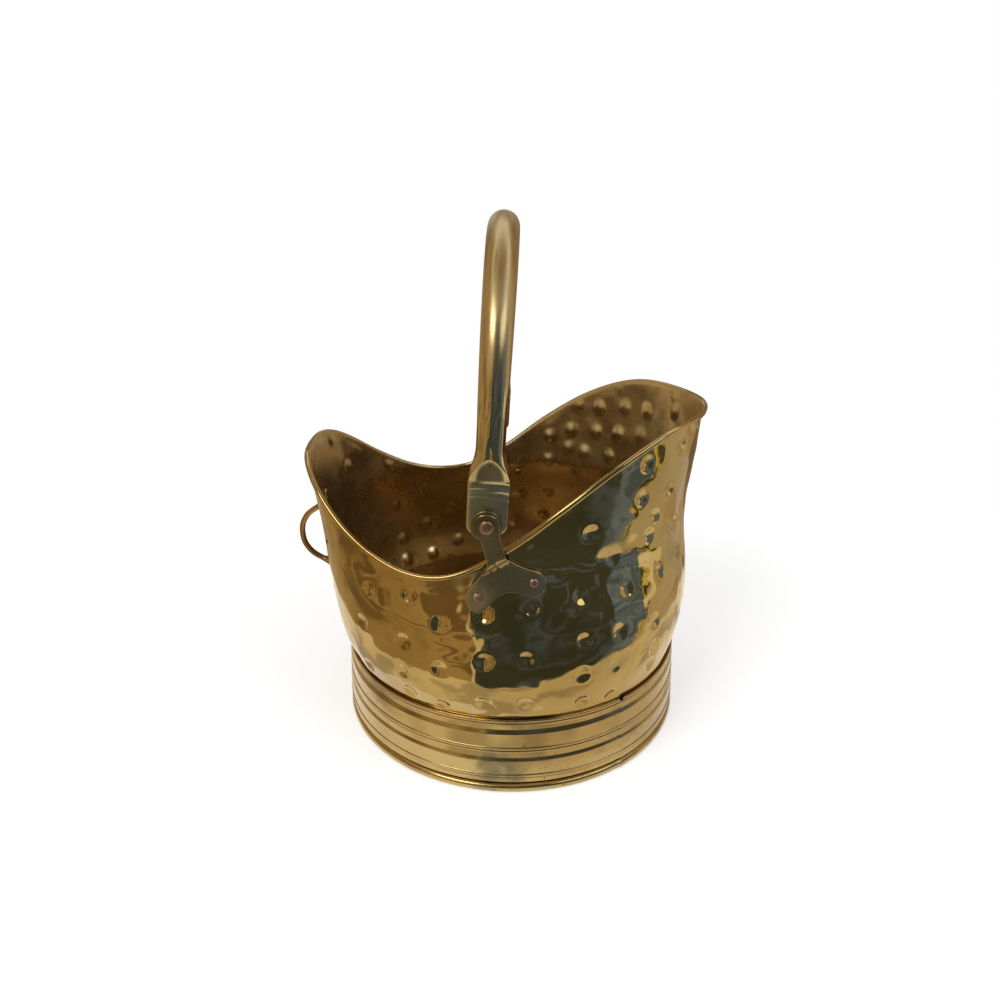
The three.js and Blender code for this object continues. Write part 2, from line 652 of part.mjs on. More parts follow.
// ---- Bars with a changing section ---------------------------------------------------------

// One ring of a bar: an ellipse or, with a power over 2, a rounded oblong. `flat` lies across the
// bar's path and `thick` in the plane of the path.
function barRing({ centre, across, normal, flat, thick, power }, sides) {
  return angles(sides).map((turn) => {
    const [c, s] = [Math.cos(turn), Math.sin(turn)];
    return centre
      .clone()
      .addScaledVector(across, flat * Math.sign(c) * Math.abs(c) ** (2 / power))
      .addScaledVector(normal, thick * Math.sign(s) * Math.abs(s) ** (2 / power));
  });
}

// ---- Bail handle --------------------------------------------------------------------------

// The arch in its own plane, [sideways, up] from the middle of the pivots: up one arm, over, down.
const ARCH_RISE = BAIL_HEIGHT - GRIP_RADIUS - BAIL_STRAIGHT;

// The flat end's outline has round corners: half its width at a height above its end.
function eyeEndHalfWidth(height) {
  const short = Math.max(0, EYE_END_CORNER - height);
  return EYE_END_WIDTH / 2 - EYE_END_CORNER + Math.sqrt(EYE_END_CORNER ** 2 - short ** 2);
}

// Stations up the straight arm, then over to the top of the arch.
function bailStations() {
  const end = -EYE_END_DROP;
  const corner = [0, 0.1, 0.3, 0.63, 1].map((part) => end + part * EYE_END_CORNER);
  const crimp = [0, 0.15, 0.35, 0.6, 0.8, 1].map((part) => EYE_END_TOP + part * CRIMP_LENGTH);
  const arm = [...corner, EYE_END_TOP / 2, ...crimp, BAIL_STRAIGHT].map((up) => {
    const part = THREE.MathUtils.smoothstep(up, EYE_END_TOP, EYE_END_TOP + CRIMP_LENGTH);
    return { side: EYE_END_Y, up, tilt: 0, round: part, end: up - end };
  });
  const archSteps = 8;
  for (let i = 1; i <= archSteps; i++) {
    const angle = (Math.PI / 2) * (i / archSteps);
    const [side, up] = [EYE_END_Y * Math.cos(angle), BAIL_STRAIGHT + ARCH_RISE * Math.sin(angle)];
    const tilt = Math.atan2(EYE_END_Y * Math.sin(angle), ARCH_RISE * Math.cos(angle));
    arm.push({ side, up, tilt, round: 1, end: up - end });
  }
  const down = arm.slice(0, -1).reverse().map((s) => ({ ...s, side: -s.side, tilt: Math.PI - s.tilt }));
  return [...arm, ...down];
}

function bailRing(station, inset) {
  const { lerp } = THREE.MathUtils;
  const grip = lerp(ARM_RADIUS, GRIP_RADIUS, Math.sin(station.tilt));
  const flat = eyeEndHalfWidth(station.end);
  return barRing(
    {
      centre: new THREE.Vector3(0, station.side, station.up),
      across: new THREE.Vector3(1, 0, 0),
      normal: new THREE.Vector3(0, Math.cos(station.tilt), Math.sin(station.tilt)),
      flat: lerp(flat, grip, station.round) - inset,
      thick: lerp(EYE_END_THICKNESS / 2, grip, station.round) - inset,
      power: lerp(5, 2, station.round),
    },
    BAIL_SIDES,
  );
}

// The tube is hollow, and its bore runs out through the slits of the flattened ends.
function bailHandle() {
  const stations = bailStations();
  const outside = stations.map((station) => bailRing(station, 0));
  const bore = stations.map((station) => bailRing(station, BAIL_TUBE_WALL));
  const runOut = [...bore.at(0), ...bore.at(-1)];
  runOut.forEach((point) => point.setZ(point.z - BAIL_TUBE_WALL));
  let tube = toManifold(solidFromRings(outside, { closed: false }));
  tube = tube.subtract(toManifold(solidFromRings(bore, { closed: false })));
  const axis = new THREE.Vector3();
  tube = tube.subtract(holeAt(PIVOT_HOLE_RADIUS, -2 * EYE_INNER_Y, 2 * EYE_INNER_Y, axis, Y_OUT));
  return toGeometry(tube);
}

// ---- Back loop handle ---------------------------------------------------------------------

const LOOP_FOOT_TOP = LOOP_HEIGHT + LOOP_HALF_SPAN;
const LOOP_FOOT_BOTTOM = LOOP_HEIGHT - LOOP_HALF_SPAN;
const LOOP_RIVET_HEIGHTS = [
  LOOP_FOOT_TOP + LOOP_RIVET_SETBACK,
  LOOP_FOOT_BOTTOM - LOOP_RIVET_SETBACK,
];

// The body's outside and its direction at the middle of the back.
function backSeat(z) {
  return { point: new THREE.Vector3(-backReach(z), 0, z), direction: outwards(Math.PI, z) };
}

// On the pad the rod's middle keeps half the pad's thickness off the body.
function padPoint(z) {
  const { point, direction } = backSeat(z);
  return point.addScaledVector(direction, WALL_SEAT_GAP + LOOP_PAD_THICKNESS / 2);
}

function loopPath() {
  const arcAngles = [65, 40, 15, -15, -40, -65].map(THREE.MathUtils.degToRad);
  const behind = -backReach(LOOP_HEIGHT);
  return new THREE.CatmullRomCurve3([
    padPoint(LOOP_FOOT_TOP + LOOP_PAD_LENGTH),
    padPoint(LOOP_RIVET_HEIGHTS[0]),
    padPoint(LOOP_FOOT_TOP + LOOP_ROD_RADIUS),
    ...arcAngles.map((angle) => {
      const x = behind - LOOP_DEPTH * Math.cos(angle);
      return new THREE.Vector3(x, 0, LOOP_HEIGHT + LOOP_HALF_SPAN * Math.sin(angle));
    }),
    padPoint(LOOP_FOOT_BOTTOM - LOOP_ROD_RADIUS),
    padPoint(LOOP_RIVET_HEIGHTS[1]),
    padPoint(LOOP_FOOT_BOTTOM - LOOP_PAD_LENGTH),
  ]);
}

function loopHandle() {
  const path = loopPath();
  const steps = 28;
  const across = new THREE.Vector3(0, 1, 0);
  const rings = Array.from({ length: steps + 1 }, (_, i) => {
    const centre = path.getPointAt(i / steps);
    const tangent = path.getTangentAt(i / steps);
    const normal = tangent.clone().cross(across).normalize();
    const beyond = Math.abs(centre.z - LOOP_HEIGHT) - LOOP_HALF_SPAN;
    const pad = THREE.MathUtils.smoothstep(beyond, -LOOP_ROD_RADIUS, LOOP_ROD_RADIUS / 2);
    const fromEnd = LOOP_PAD_LENGTH - beyond;
    const roundEnd = Math.sqrt(Math.max(0.1, Math.min(1, 2 * fromEnd / LOOP_PAD_HALF_WIDTH)));
    return barRing(
      {
        centre,
        across,
        normal,
        flat: THREE.MathUtils.lerp(LOOP_ROD_RADIUS, LOOP_PAD_HALF_WIDTH * roundEnd, pad),
        thick: THREE.MathUtils.lerp(LOOP_ROD_RADIUS, LOOP_PAD_THICKNESS / 2, pad),
        power: 2 + 2 * pad,
      },
      LOOP_SIDES,
    );
  });
  let loop = toManifold(solidFromRings(rings, { closed: false }));
  for (const height of LOOP_RIVET_HEIGHTS) loop = loop.subtract(rivetHole(backSeat(height)));
  return toGeometry(loop);
}

// ---- The body with its rivet holes --------------------------------------------------------

function bodyShell() {
  const farSeats = bracketRivetPlaces(BRACKET_TILT_FAR).map(sideSeat);
  const nearSeats = bracketRivetPlaces(BRACKET_TILT_NEAR).map(sideSeat);
  const holes = [
    ...[...farSeats, ...LOOP_RIVET_HEIGHTS.map(backSeat)].map(rivetHole),
    ...nearSeats.map((seat) => toManifold(mirrored(toGeometry(rivetHole(seat))))),
  ];
  let shell = toManifold(bodySheet());
  for (const hole of holes) shell = shell.subtract(hole);
  return toGeometry(shell);
}

// ---- Assembly -----------------------------------------------------------------------------

const brass = (color, roughness) => new THREE.MeshStandardMaterial({ color, roughness, metalness: 1 });
const MATERIALS = {
  body: brass(0xb08d45, 0.22),
  foot: brass(0xb5934c, 0.26),
  plate: brass(0x7d6030, 0.45),
  handle: brass(0xa58a4e, 0.3),
  bracket: brass(0x7c7048, 0.42),
  copper: brass(0x9a6a52, 0.4),
  steel: brass(0x77736c, 0.55),
};

function piece(name, geometry, material) {
  const mesh = new THREE.Mesh(geometry, material);
  mesh.name = name;
  return mesh;
}

const scuttle = new THREE.Group();
scuttle.add(piece('body_shell', bodyShell(), MATERIALS.body));
scuttle.add(piece('rim_wire', rimWire(), MATERIALS.steel));
scuttle.add(piece('foot_ring', footRing(), MATERIALS.foot));
scuttle.add(piece('foot_wire', footWire(), MATERIALS.steel));
scuttle.add(piece('bottom_plate', bottomPlate(), MATERIALS.plate));

// The pieces at one end of the bail are made for the far side, and turned over for the near one.
function addPivot(side, tilt, place) {
  const add = (name, geometry, material) => {
    scuttle.add(piece(`${name}_${side}`, place(geometry), material));
  };
  add('bracket', bracket(tilt), MATERIALS.bracket);
  add('pivot_rivet', pivotRivet(), MATERIALS.copper);
  add('outer_washer', washer(OUTER_WASHER_Y), MATERIALS.bracket);
  add('inner_washer', washer(INNER_WASHER_Y), MATERIALS.bracket);
  bracketRivetPlaces(tilt).forEach((seat, i) => {
    const rivetName = `bracket_rivet_${['front', 'back'][i]}`;
    add(rivetName, sheetRivet(sideSeat(seat), BRACKET_THICKNESS), MATERIALS.copper);
  });
}

addPivot('near', BRACKET_TILT_NEAR, mirrored);
addPivot('far', BRACKET_TILT_FAR, (geometry) => geometry);

scuttle.add(piece('back_loop_handle', loopHandle(), MATERIALS.handle));
LOOP_RIVET_HEIGHTS.forEach((height, i) => {
  const geometry = sheetRivet(backSeat(height), LOOP_PAD_THICKNESS);
  scuttle.add(piece(`loop_rivet_${['upper', 'lower'][i]}`, geometry, MATERIALS.copper));
});

const bail = piece('bail_handle', bailHandle(), MATERIALS.handle);
bail.position.copy(PIVOT_POINT);
bail.rotation.y = BAIL_LEAN;
scuttle.add(bail);

// The overall length runs from the loop's rod to the rolled edge of the spout.
const backmost = backReach(LOOP_HEIGHT) + LOOP_DEPTH + LOOP_ROD_RADIUS;
const foremost = SPOUT_REACH + RIM_BEAD_REACH;
scuttle.position.x = (backmost - foremost) / 2;

const group = new THREE.Group();
group.add(scuttle);

export default group;
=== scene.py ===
import json
import math
import random

import bmesh
import bpy
import numpy as np
from mathutils import Matrix, Vector
from mathutils.bvhtree import BVHTree
from mathutils.geometry import delaunay_2d_cdt


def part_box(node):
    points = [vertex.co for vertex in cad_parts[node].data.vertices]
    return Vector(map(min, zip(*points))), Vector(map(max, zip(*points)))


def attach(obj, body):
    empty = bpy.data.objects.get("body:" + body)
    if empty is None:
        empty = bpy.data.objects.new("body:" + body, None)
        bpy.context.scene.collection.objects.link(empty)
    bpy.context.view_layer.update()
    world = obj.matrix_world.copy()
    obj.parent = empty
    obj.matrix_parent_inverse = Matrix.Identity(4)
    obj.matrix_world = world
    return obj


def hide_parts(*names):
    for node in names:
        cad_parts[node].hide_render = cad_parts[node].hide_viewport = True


# A helmet-shaped hammered brass coal scuttle. Shapes are drawn in millimetres about the foot's own
# axis, and place() turns them into metres in the frame. +X points out of the spout.

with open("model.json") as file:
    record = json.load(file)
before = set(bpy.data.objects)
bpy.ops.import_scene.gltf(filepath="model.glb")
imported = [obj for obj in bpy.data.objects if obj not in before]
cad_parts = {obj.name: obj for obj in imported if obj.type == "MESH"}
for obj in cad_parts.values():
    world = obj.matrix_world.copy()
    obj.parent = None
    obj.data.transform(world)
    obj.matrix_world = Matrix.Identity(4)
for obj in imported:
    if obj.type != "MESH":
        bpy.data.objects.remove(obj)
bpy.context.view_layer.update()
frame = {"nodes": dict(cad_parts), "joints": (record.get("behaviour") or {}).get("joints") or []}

MM = 0.001
FOOT_LOW, FOOT_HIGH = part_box("foot_ring")
FOOT_AXIS_X = (FOOT_LOW.x + FOOT_HIGH.x) / 2 / MM
HINGE = frame["joints"][0]["pos_m"]
PIVOT_X = HINGE[0] / MM - FOOT_AXIS_X
PIVOT_Z = HINGE[2] / MM

# ---- Sizes, as in the solids ----

SEAT_GAP = 0.3
WALL_SEAT_GAP = 0.75
SHEET = 0.7
SLEEVE_RADIUS = 121.6
SLEEVE_BOTTOM = 10
SECTION_CENTRE = 10.5
BACK_SQUARENESS = 2.57
FRONT_SQUARENESS = 1.8
SHAPING_HEIGHT = 100
FOOT_HEIGHT = FOOT_HIGH.z / MM
SPOUT_REACH = 132
BACK_REACH = 141
RIM_HEIGHTS = [206.4, 171, 151.7, 150.5, 168.2, 194.4, 217.8, 233, 235.1]
SIDE_REACHES = [(FOOT_HEIGHT, SLEEVE_RADIUS), (80, 126), (115, 118.5), (158, 102.4), (235.1, 102.4)]
FRONT_REACHES = [
    (FOOT_HEIGHT, SLEEVE_RADIUS), (106, 129.6), (154, 125.4), (200, 129.6), (235.1, SPOUT_REACH),
]
BACK_REACHES = [(FOOT_HEIGHT, SLEEVE_RADIUS), (76, 128.5), (130, 133.2), (206.4, BACK_REACH)]

RIM_WIRE_RADIUS = 0.9
RIM_CURL_END = math.radians(-110)
CURL_INNER_RADIUS = RIM_WIRE_RADIUS + SEAT_GAP
CURL_OUTER_RADIUS = CURL_INNER_RADIUS + SHEET

FOOT_SHEET = 1
FOOT_BASE_RADIUS = 126.2
FOOT_STEP_PITCH = 20.8
FOOT_STEP_REACH = 1.1
FOOT_BEAD_HEIGHT = 2.6
FOOT_BEAD_RISE = 0.6
FOOT_SLOPE_HEIGHT = 8
FOOT_CURL_OUTER = 3.1
FOOT_TUCK_HEIGHT = 2.6
FOOT_TOP_RADIUS = SLEEVE_RADIUS + SEAT_GAP + FOOT_SHEET
FOOT_WIDEST = FOOT_TOP_RADIUS + 2 * FOOT_STEP_REACH
FOOT_CURL_RADIUS = FOOT_BASE_RADIUS - FOOT_CURL_OUTER

BRACKET_THICKNESS = 2.2
BRACKET_STAND_OFF = 2
BRACKET_TILTS = {"near": math.radians(14.5), "far": math.radians(3)}
BRACKET_EYE_RADIUS = 10
BRACKET_NECK_WIDTH = 12
BRACKET_NECK_END = 22
BRACKET_EAR_RADIUS = 7.7
BRACKET_RIVET_SPACING = 35.7
BRACKET_RIVET_DROP = 45.4
BRACKET_JOGGLE_START = 8.4
BRACKET_JOGGLE_END = 4.2

BAIL_LEAN = math.radians(3.3)
BAIL_HEIGHT = 173.2
BAIL_STRAIGHT = 62
BAIL_TUBE_WALL = 1.3
BAIL_SLIT = 0.4
GRIP_RADIUS = 10.4
ARM_RADIUS = 8.6
EYE_END_WIDTH = 24.8
EYE_END_CORNER = 6.2
EYE_END_DROP = 6.5
EYE_END_TOP = 27
CRIMP_LENGTH = 22
EYE_END_THICKNESS = 2 * BAIL_TUBE_WALL + BAIL_SLIT
EYE_END_HALF = EYE_END_THICKNESS / 2

LOOP_HEIGHT = 132
LOOP_HALF_SPAN = 23
LOOP_DEPTH = 23
LOOP_ROD_RADIUS = 2.1
LOOP_PAD_LENGTH = 17
LOOP_PAD_HALF_WIDTH = 7
LOOP_PAD_THICKNESS = 2.2

WASHER_THICKNESS = 0.8
WASHER_RADIUS = 8.2
WASHER_BORE = 3.1
# A rivet is its shank's radius, its head's radius, the head's height and the tail's height.
SMALL_RIVET = (2, 2.9, 1.3, 1)
PIVOT_RIVET = (3, 4.6, 2, 1.5)

# The camera, fitted to the photograph
CAMERA_PLACE = Vector((0.012024, -0.54253, 0.38227))
CAMERA_AZIMUTH = math.radians(0.9226)
CAMERA_ELEVATION = math.radians(22.397)
CAMERA_ROLL = math.radians(-0.1583)
CAMERA_NEAREST = 0.01
FOCAL_PIXELS = 800
IMAGE_PIXELS = 1000
SENSOR_WIDTH = 36


# ---- Curves ----

def place(point):
    """Metres in the frame, from millimetres about the foot's axis."""
    return (np.asarray(point, float) + np.array([FOOT_AXIS_X, 0, 0])) * MM


def smoothstep(value, low, high):
    t = np.clip((value - low) / (high - low), 0, 1)
    return t * t * (3 - 2 * t)


def lerp(start, end, part):
    return start + (end - start) * part


def unit(vectors):
    return vectors / np.linalg.norm(vectors, axis=-1, keepdims=True)


def turns_round(count):
    return np.arange(count) * 2 * math.pi / count


def squared(value, power):
    """A sine or cosine for a rounded section, which is an ellipse at 2 and squarer above it."""
    return np.sign(value) * np.abs(value) ** (2 / power)


def hermite(points, slopes):
    """A cubic through points (position, value) with given slopes, constant past both ends."""
    xs, ys = np.array(points, float).T
    slopes = np.array(slopes, float)

    def value(position):
        position = np.clip(np.asarray(position, float), xs[0], xs[-1])
        i = np.clip(np.searchsorted(xs, position, side="right") - 1, 0, len(xs) - 2)
        span, rise = xs[i + 1] - xs[i], ys[i + 1] - ys[i]
        t = (position - xs[i]) / span
        start, end = slopes[i] * span, slopes[i + 1] * span
        return ys[i] + t * (start + t * (3 * rise - 2 * start - end + t * (start + end - 2 * rise)))

    return value


def steady_through(points):
    """A curve that never swings past its points: it is level at each turning point."""
    xs, ys = np.array(points, float).T
    rises = np.diff(ys) / np.diff(xs)
    before, after = np.append(rises[0], rises), np.append(rises, rises[-1])
    same_way = before * after > 0
    slopes = np.where(same_way, 2 * before * after / np.where(same_way, before + after, 1), 0)
    return hermite(points, slopes)


def smooth_through(points):
    xs, ys = np.array(points, float).T
    rises = np.diff(ys) / np.diff(xs)
    inner = (ys[2:] - ys[:-2]) / (xs[2:] - xs[:-2])
    return hermite(points, [rises[0], *inner, rises[-1]])


side_reach, front_reach, back_reach = map(
    steady_through, (SIDE_REACHES, FRONT_REACHES, BACK_REACHES)
)
rim_top = smooth_through(
    list(zip(np.linspace(-BACK_REACH, SPOUT_REACH, len(RIM_HEIGHTS)), RIM_HEIGHTS))
)


# ---- Body surface ----

RIM_ROUNDS = 30
NUDGE = 2e-3


def section(z, towards_spout):
    shaping = smoothstep(z, FOOT_HEIGHT, FOOT_HEIGHT + SHAPING_HEIGHT)
    centre = SECTION_CENTRE * shaping
    reach = np.where(towards_spout, front_reach(z) - centre, back_reach(z) + centre)
    squareness = np.where(towards_spout, FRONT_SQUARENESS, BACK_SQUARENESS)
    return centre, reach, side_reach(z), 2 + (squareness - 2) * shaping


def body_point(angle, z):
    """A point of the body's outside at an angle round the section, 0 at the spout."""
    angle, z = np.broadcast_arrays(np.asarray(angle, float), np.asarray(z, float))
    c, s = np.cos(angle), np.sin(angle)
    centre, reach, width, power = section(z, c > 0)
    return np.stack([centre + reach * squared(c, power), width * squared(s, power), z], -1)


def body_side(x, z):
    centre, reach, width, power = section(z, x > section(z, True)[0])
    inside = np.clip(1 - np.abs((x - centre) / reach) ** power, 0, None)
    return width * inside ** (1 / power)


def wall_top(angle):
    z = np.full(np.shape(angle), RIM_HEIGHTS[0], float)
    for _ in range(RIM_ROUNDS):
        z = rim_top(body_point(angle, z)[..., 0]) - CURL_OUTER_RADIUS
    return z


def outwards(angle, z):
    along = body_point(angle + NUDGE, z) - body_point(angle - NUDGE, z)
    up = body_point(angle, z + NUDGE) - body_point(angle, z - NUDGE)
    return unit(np.cross(along, up))


# ---- Meshes ----

def link(name, data):
    thing = bpy.data.objects.new(name, data)
    bpy.context.scene.collection.objects.link(thing)
    return thing


def mesh_object(name, points, faces=()):
    """A mesh from points in metres."""
    mesh = bpy.data.meshes.new(name)
    mesh.from_pydata([tuple(p) for p in points], [], [tuple(map(int, f)) for f in faces])
    mesh.update()
    return link(name, mesh)


def ring_faces(rings, count, closed):
    """Quads from each ring to the next. Each ring turns right-handed about the way to the next."""
    i = np.arange(rings if closed else rings - 1)[:, None]
    j = np.arange(count)[None, :]
    after, side = (i + 1) % rings, (j + 1) % count
    quads = [i * count + j, i * count + side, after * count + side, after * count + j]
    return np.stack(np.broadcast_arrays(*quads), -1).reshape(-1, 4)


def turned(profile, segments):
    """A ring of points about +Z for each [radius, height] of a profile."""
    r, z = np.array(profile, float).T[..., None]
    angle = turns_round(segments)
    return np.stack(np.broadcast_arrays(r * np.cos(angle), r * np.sin(angle), z), -1)


def lathed(name, profile, segments, centre=(0, 0, 0)):
    """A closed profile turned about an upright axis."""
    points = np.swapaxes(turned(profile, segments), 0, 1).reshape(-1, 3) + centre
    return mesh_object(name, points * MM, ring_faces(segments, len(profile), True))


def turned_solid(name, profile, segments):
    """A solid whose profile starts and ends on its axis."""
    rings = turned(profile[1:-1], segments)
    ends = [[[0, 0, height]] for height in (profile[0][1], profile[-1][1])]
    points = np.concatenate([ends[0], rings.reshape(-1, 3), ends[1]])
    faces = (ring_faces(len(rings), segments, False) + 1).tolist()
    last = 1 + (len(rings) - 1) * segments
    for j in range(segments):
        after = (j + 1) % segments
        faces.append([0, 1 + after, 1 + j])
        faces.append([len(points) - 1, last + j, last + after])
    return mesh_object(name, points * MM, faces)


def add_attribute(mesh, name, kind, domain, values):
    attribute = mesh.attributes.new(name, kind, domain)
    values = np.asarray(values, bool if kind == "BOOLEAN" else np.float32).ravel()
    attribute.data.foreach_set("vector" if kind == "FLOAT_VECTOR" else "value", values)


def paint(thing, material):
    thing.data.materials.clear()
    thing.data.materials.append(material)


def finish_piece(thing, body, nodes, crisp):
    """Corners sharper than crisp degrees stay corners, and the rest is smooth."""
    mesh = thing.data
    mesh.polygons.foreach_set("use_smooth", [True] * len(mesh.polygons))
    mesh.set_sharp_from_angle(angle=math.radians(crisp))
    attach(thing, body)
    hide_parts(*nodes)


# ---- Camera ----

def view_axes():
    azimuth, elevation = CAMERA_AZIMUTH, CAMERA_ELEVATION
    back = Vector((
        math.sin(azimuth) * math.cos(elevation),
        -math.cos(azimuth) * math.cos(elevation),
        math.sin(elevation),
    ))
    right = (-back).cross(Vector((0, 0, 1))).normalized()
    up = right.cross(-back)
    c, s = math.cos(CAMERA_ROLL), math.sin(CAMERA_ROLL)
    return right * c + up * s, up * c - right * s, back


VIEW_RIGHT, VIEW_UP, VIEW_BACK = view_axes()


def pixel_ray(pixel):
    """The way from the camera through a pixel of the photograph."""
    across, down = (value - IMAGE_PIXELS / 2 for value in pixel)
    return (VIEW_RIGHT * across - VIEW_UP * down - VIEW_BACK * FOCAL_PIXELS).normalized()


def make_camera():
    data = bpy.data.cameras.new("camera")
    data.sensor_width = SENSOR_WIDTH
    data.lens = FOCAL_PIXELS / IMAGE_PIXELS * SENSOR_WIDTH
    data.clip_start = CAMERA_NEAREST
    camera = link("camera", data)
    turn = Matrix((VIEW_RIGHT, VIEW_UP, VIEW_BACK)).transposed().to_4x4()
    camera.matrix_world = Matrix.Translation(CAMERA_PLACE) @ turn
    bpy.context.scene.camera = camera


make_camera()
bpy.context.scene.view_settings.view_transform = "Standard"


# ---- Node trees ----

class Graph:
    """Adds nodes to a tree and feeds their sockets with values or with other sockets."""

    def __init__(self, tree):
        self.tree = tree

    def feed(self, socket, value):
        if isinstance(value, bpy.types.NodeSocket):
            self.tree.links.new(value, socket)
        else:
            socket.default_value = value

    def add(self, kind, settings=None, **inputs):
        """inputs are named as the sockets are, with _ for a space."""
        node = self.tree.nodes.new(kind)
        for key, value in (settings or {}).items():
            setattr(node, key, value)
        for key, value in inputs.items():
            self.feed(node.inputs[key.replace("_", " ")], value)
        return node

    def numbered(self, kind, settings, inputs):
        """A node's outputs, where its sockets share names and go by their numbers."""
        node = self.add(kind, settings)
        for number, value in inputs.items():
            self.feed(node.inputs[number], value)
        return node.outputs

    def math(self, operation, a, b=0.0, clamp=False):
        settings = {"operation": operation, "use_clamp": clamp}
        return self.numbered("ShaderNodeMath", settings, {0: a, 1: b})[0]

    def times(self, a, b, clamp=False):
        return self.math("MULTIPLY", a, b, clamp)

    def plus(self, a, b, clamp=False):
        return self.math("ADD", a, b, clamp)

    def minus(self, a, b, clamp=False):
        return self.math("SUBTRACT", a, b, clamp)

    def blend(self, part, a, b):
        return self.numbered("ShaderNodeMix", {"data_type": "RGBA"}, {0: part, 6: a, 7: b})[2]

    def band(self, value, low, high):
        """From 0 at low to 1 at high, softly."""
        settings = {"interpolation_type": "SMOOTHSTEP"}
        return self.numbered("ShaderNodeMapRange", settings, {0: value, 1: low, 2: high})[0]

    def noise(self, vector, scale, detail=4.0, roughness=0.55):
        inputs = {"Scale": scale, "Detail": detail, "Roughness": roughness}
        return self.add("ShaderNodeTexNoise", Vector=vector, **inputs).outputs[0]

    def coords(self):
        return self.add("ShaderNodeTexCoord").outputs["Object"]

    def named(self, name, kind):
        """What one of the mesh's own attributes holds."""
        node = self.add("GeometryNodeInputNamedAttribute", {"data_type": kind}, Name=name)
        return in_use(node.outputs)[0]


def in_use(sockets):
    return [socket for socket in sockets if socket.enabled]


def new_tree(name, kind, inputs, outputs):
    """A node tree whose sockets are (name, kind) or (name, kind, value)."""
    tree = bpy.data.node_groups.new(name, kind)
    for way, sockets in (("INPUT", inputs), ("OUTPUT", outputs)):
        for label, holds, *value in sockets:
            socket = tree.interface.new_socket(label, in_out=way, socket_type="NodeSocket" + holds)
            if value:
                socket.default_value = value[0]
    graph = Graph(tree)
    return graph, graph.add("NodeGroupInput").outputs, graph.add("NodeGroupOutput").inputs


# ---- Metals ----

# How fine each pattern of the tarnish is, and the band of it that shows
CLOUD_SCALE, CLOUD_BAND = 11.0, (0.38, 0.68)
STAIN_SCALE, STAIN_BAND = 27.0, (0.5, 0.72)
SPECK_SCALE, SPECK_BAND = 170.0, (0.16, 0.05)
PATCH_SCALE, PATCH_BAND = 45.0, (0.5, 0.66)
SMEAR_SCALE, SMEAR_BAND = 60.0, (0.45, 0.75)
PIT_TONE = (0.03, 0.018, 0.008, 1)
OLIVE_ROUGHNESS, BROWN_ROUGHNESS, PIT_ROUGHNESS, SMEAR_ROUGHNESS = 0.2, 0.05, 0.4, 0.08
SMEAR_RELIEF = 0.3
FINE_RELIEF = 0.00008


def tarnish_group():
    """Polished brass that has gone brown and olive in patches, with pits and fine scratches."""
    graph, given, made = new_tree(
        "tarnished_brass", "ShaderNodeTree",
        [
            ("Place", "Vector", (0, 0, 0)),
            ("Bright", "Color", (0.6, 0.4, 0.14, 1)),
            ("Brown", "Color", (0.3, 0.15, 0.04, 1)),
            ("Olive", "Color", (0.12, 0.11, 0.05, 1)),
            ("Brown Amount", "Float", 0.5),
            ("Olive Amount", "Float", 0.2),
            ("Pit Amount", "Float", 0.5),
            ("Dulling", "Float", 0.0),
            ("Polish", "Float", 0.12),
        ],
        [("Color", "Color"), ("Roughness", "Float"), ("Height", "Float")],
    )
    where = given["Place"]
    cloud = graph.band(graph.noise(where, CLOUD_SCALE), *CLOUD_BAND)
    brown = graph.times(cloud, given["Brown Amount"], clamp=True)
    stain = graph.noise(where, STAIN_SCALE, detail=6.0, roughness=0.62)
    stain = graph.band(stain, *STAIN_BAND)
    olive = graph.times(stain, given["Olive Amount"], clamp=True)
    olive = graph.math("MAXIMUM", olive, given["Dulling"])
    specks = graph.add("ShaderNodeTexVoronoi", Vector=where, Scale=SPECK_SCALE).outputs["Distance"]
    patchy = graph.band(graph.noise(where, PATCH_SCALE, detail=3.0), *PATCH_BAND)
    pits = graph.times(graph.band(specks, *SPECK_BAND), patchy)
    pits = graph.times(pits, given["Pit Amount"], clamp=True)
    color = graph.blend(brown, given["Bright"], given["Brown"])
    color = graph.blend(olive, color, given["Olive"])
    graph.feed(made["Color"], graph.blend(pits, color, PIT_TONE))
    smear = graph.noise(where, SMEAR_SCALE, detail=5.0, roughness=0.7)
    rough = given["Polish"]
    for mask, share in (
        (olive, OLIVE_ROUGHNESS), (brown, BROWN_ROUGHNESS), (pits, PIT_ROUGHNESS),
        (graph.band(smear, *SMEAR_BAND), SMEAR_ROUGHNESS),
    ):
        rough = graph.plus(rough, graph.times(mask, share), clamp=True)
    graph.feed(made["Roughness"], rough)
    graph.feed(made["Height"], graph.minus(graph.times(smear, SMEAR_RELIEF), pits))
    return graph.tree


TARNISH = tarnish_group()

# The bail alone is dull below its creases and satin towards its grip, and has a nearly black arch
# of painted shade on each facet. Heights and places are metres in the frame.
DULL_HEIGHTS = (0.2175, 0.2095)
DULL_SHARE = 0.85
SATIN_HEIGHTS = (0.25, 0.3)
SATIN_ROUGHNESS = 0.17
ARCH_MIDDLE_X, ARCH_FOOT_Z = -0.0008, 0.2141
ARCH_HALF_WIDTH, ARCH_RISE = 0.0086, 0.0148
ARCH_EDGE = (1.15, 0.7)
ARCH_FOOT_EDGE = (-0.02, 0.08)
ARCH_PAINTED_SHADE = (0.09, 0.078, 0.045, 1)


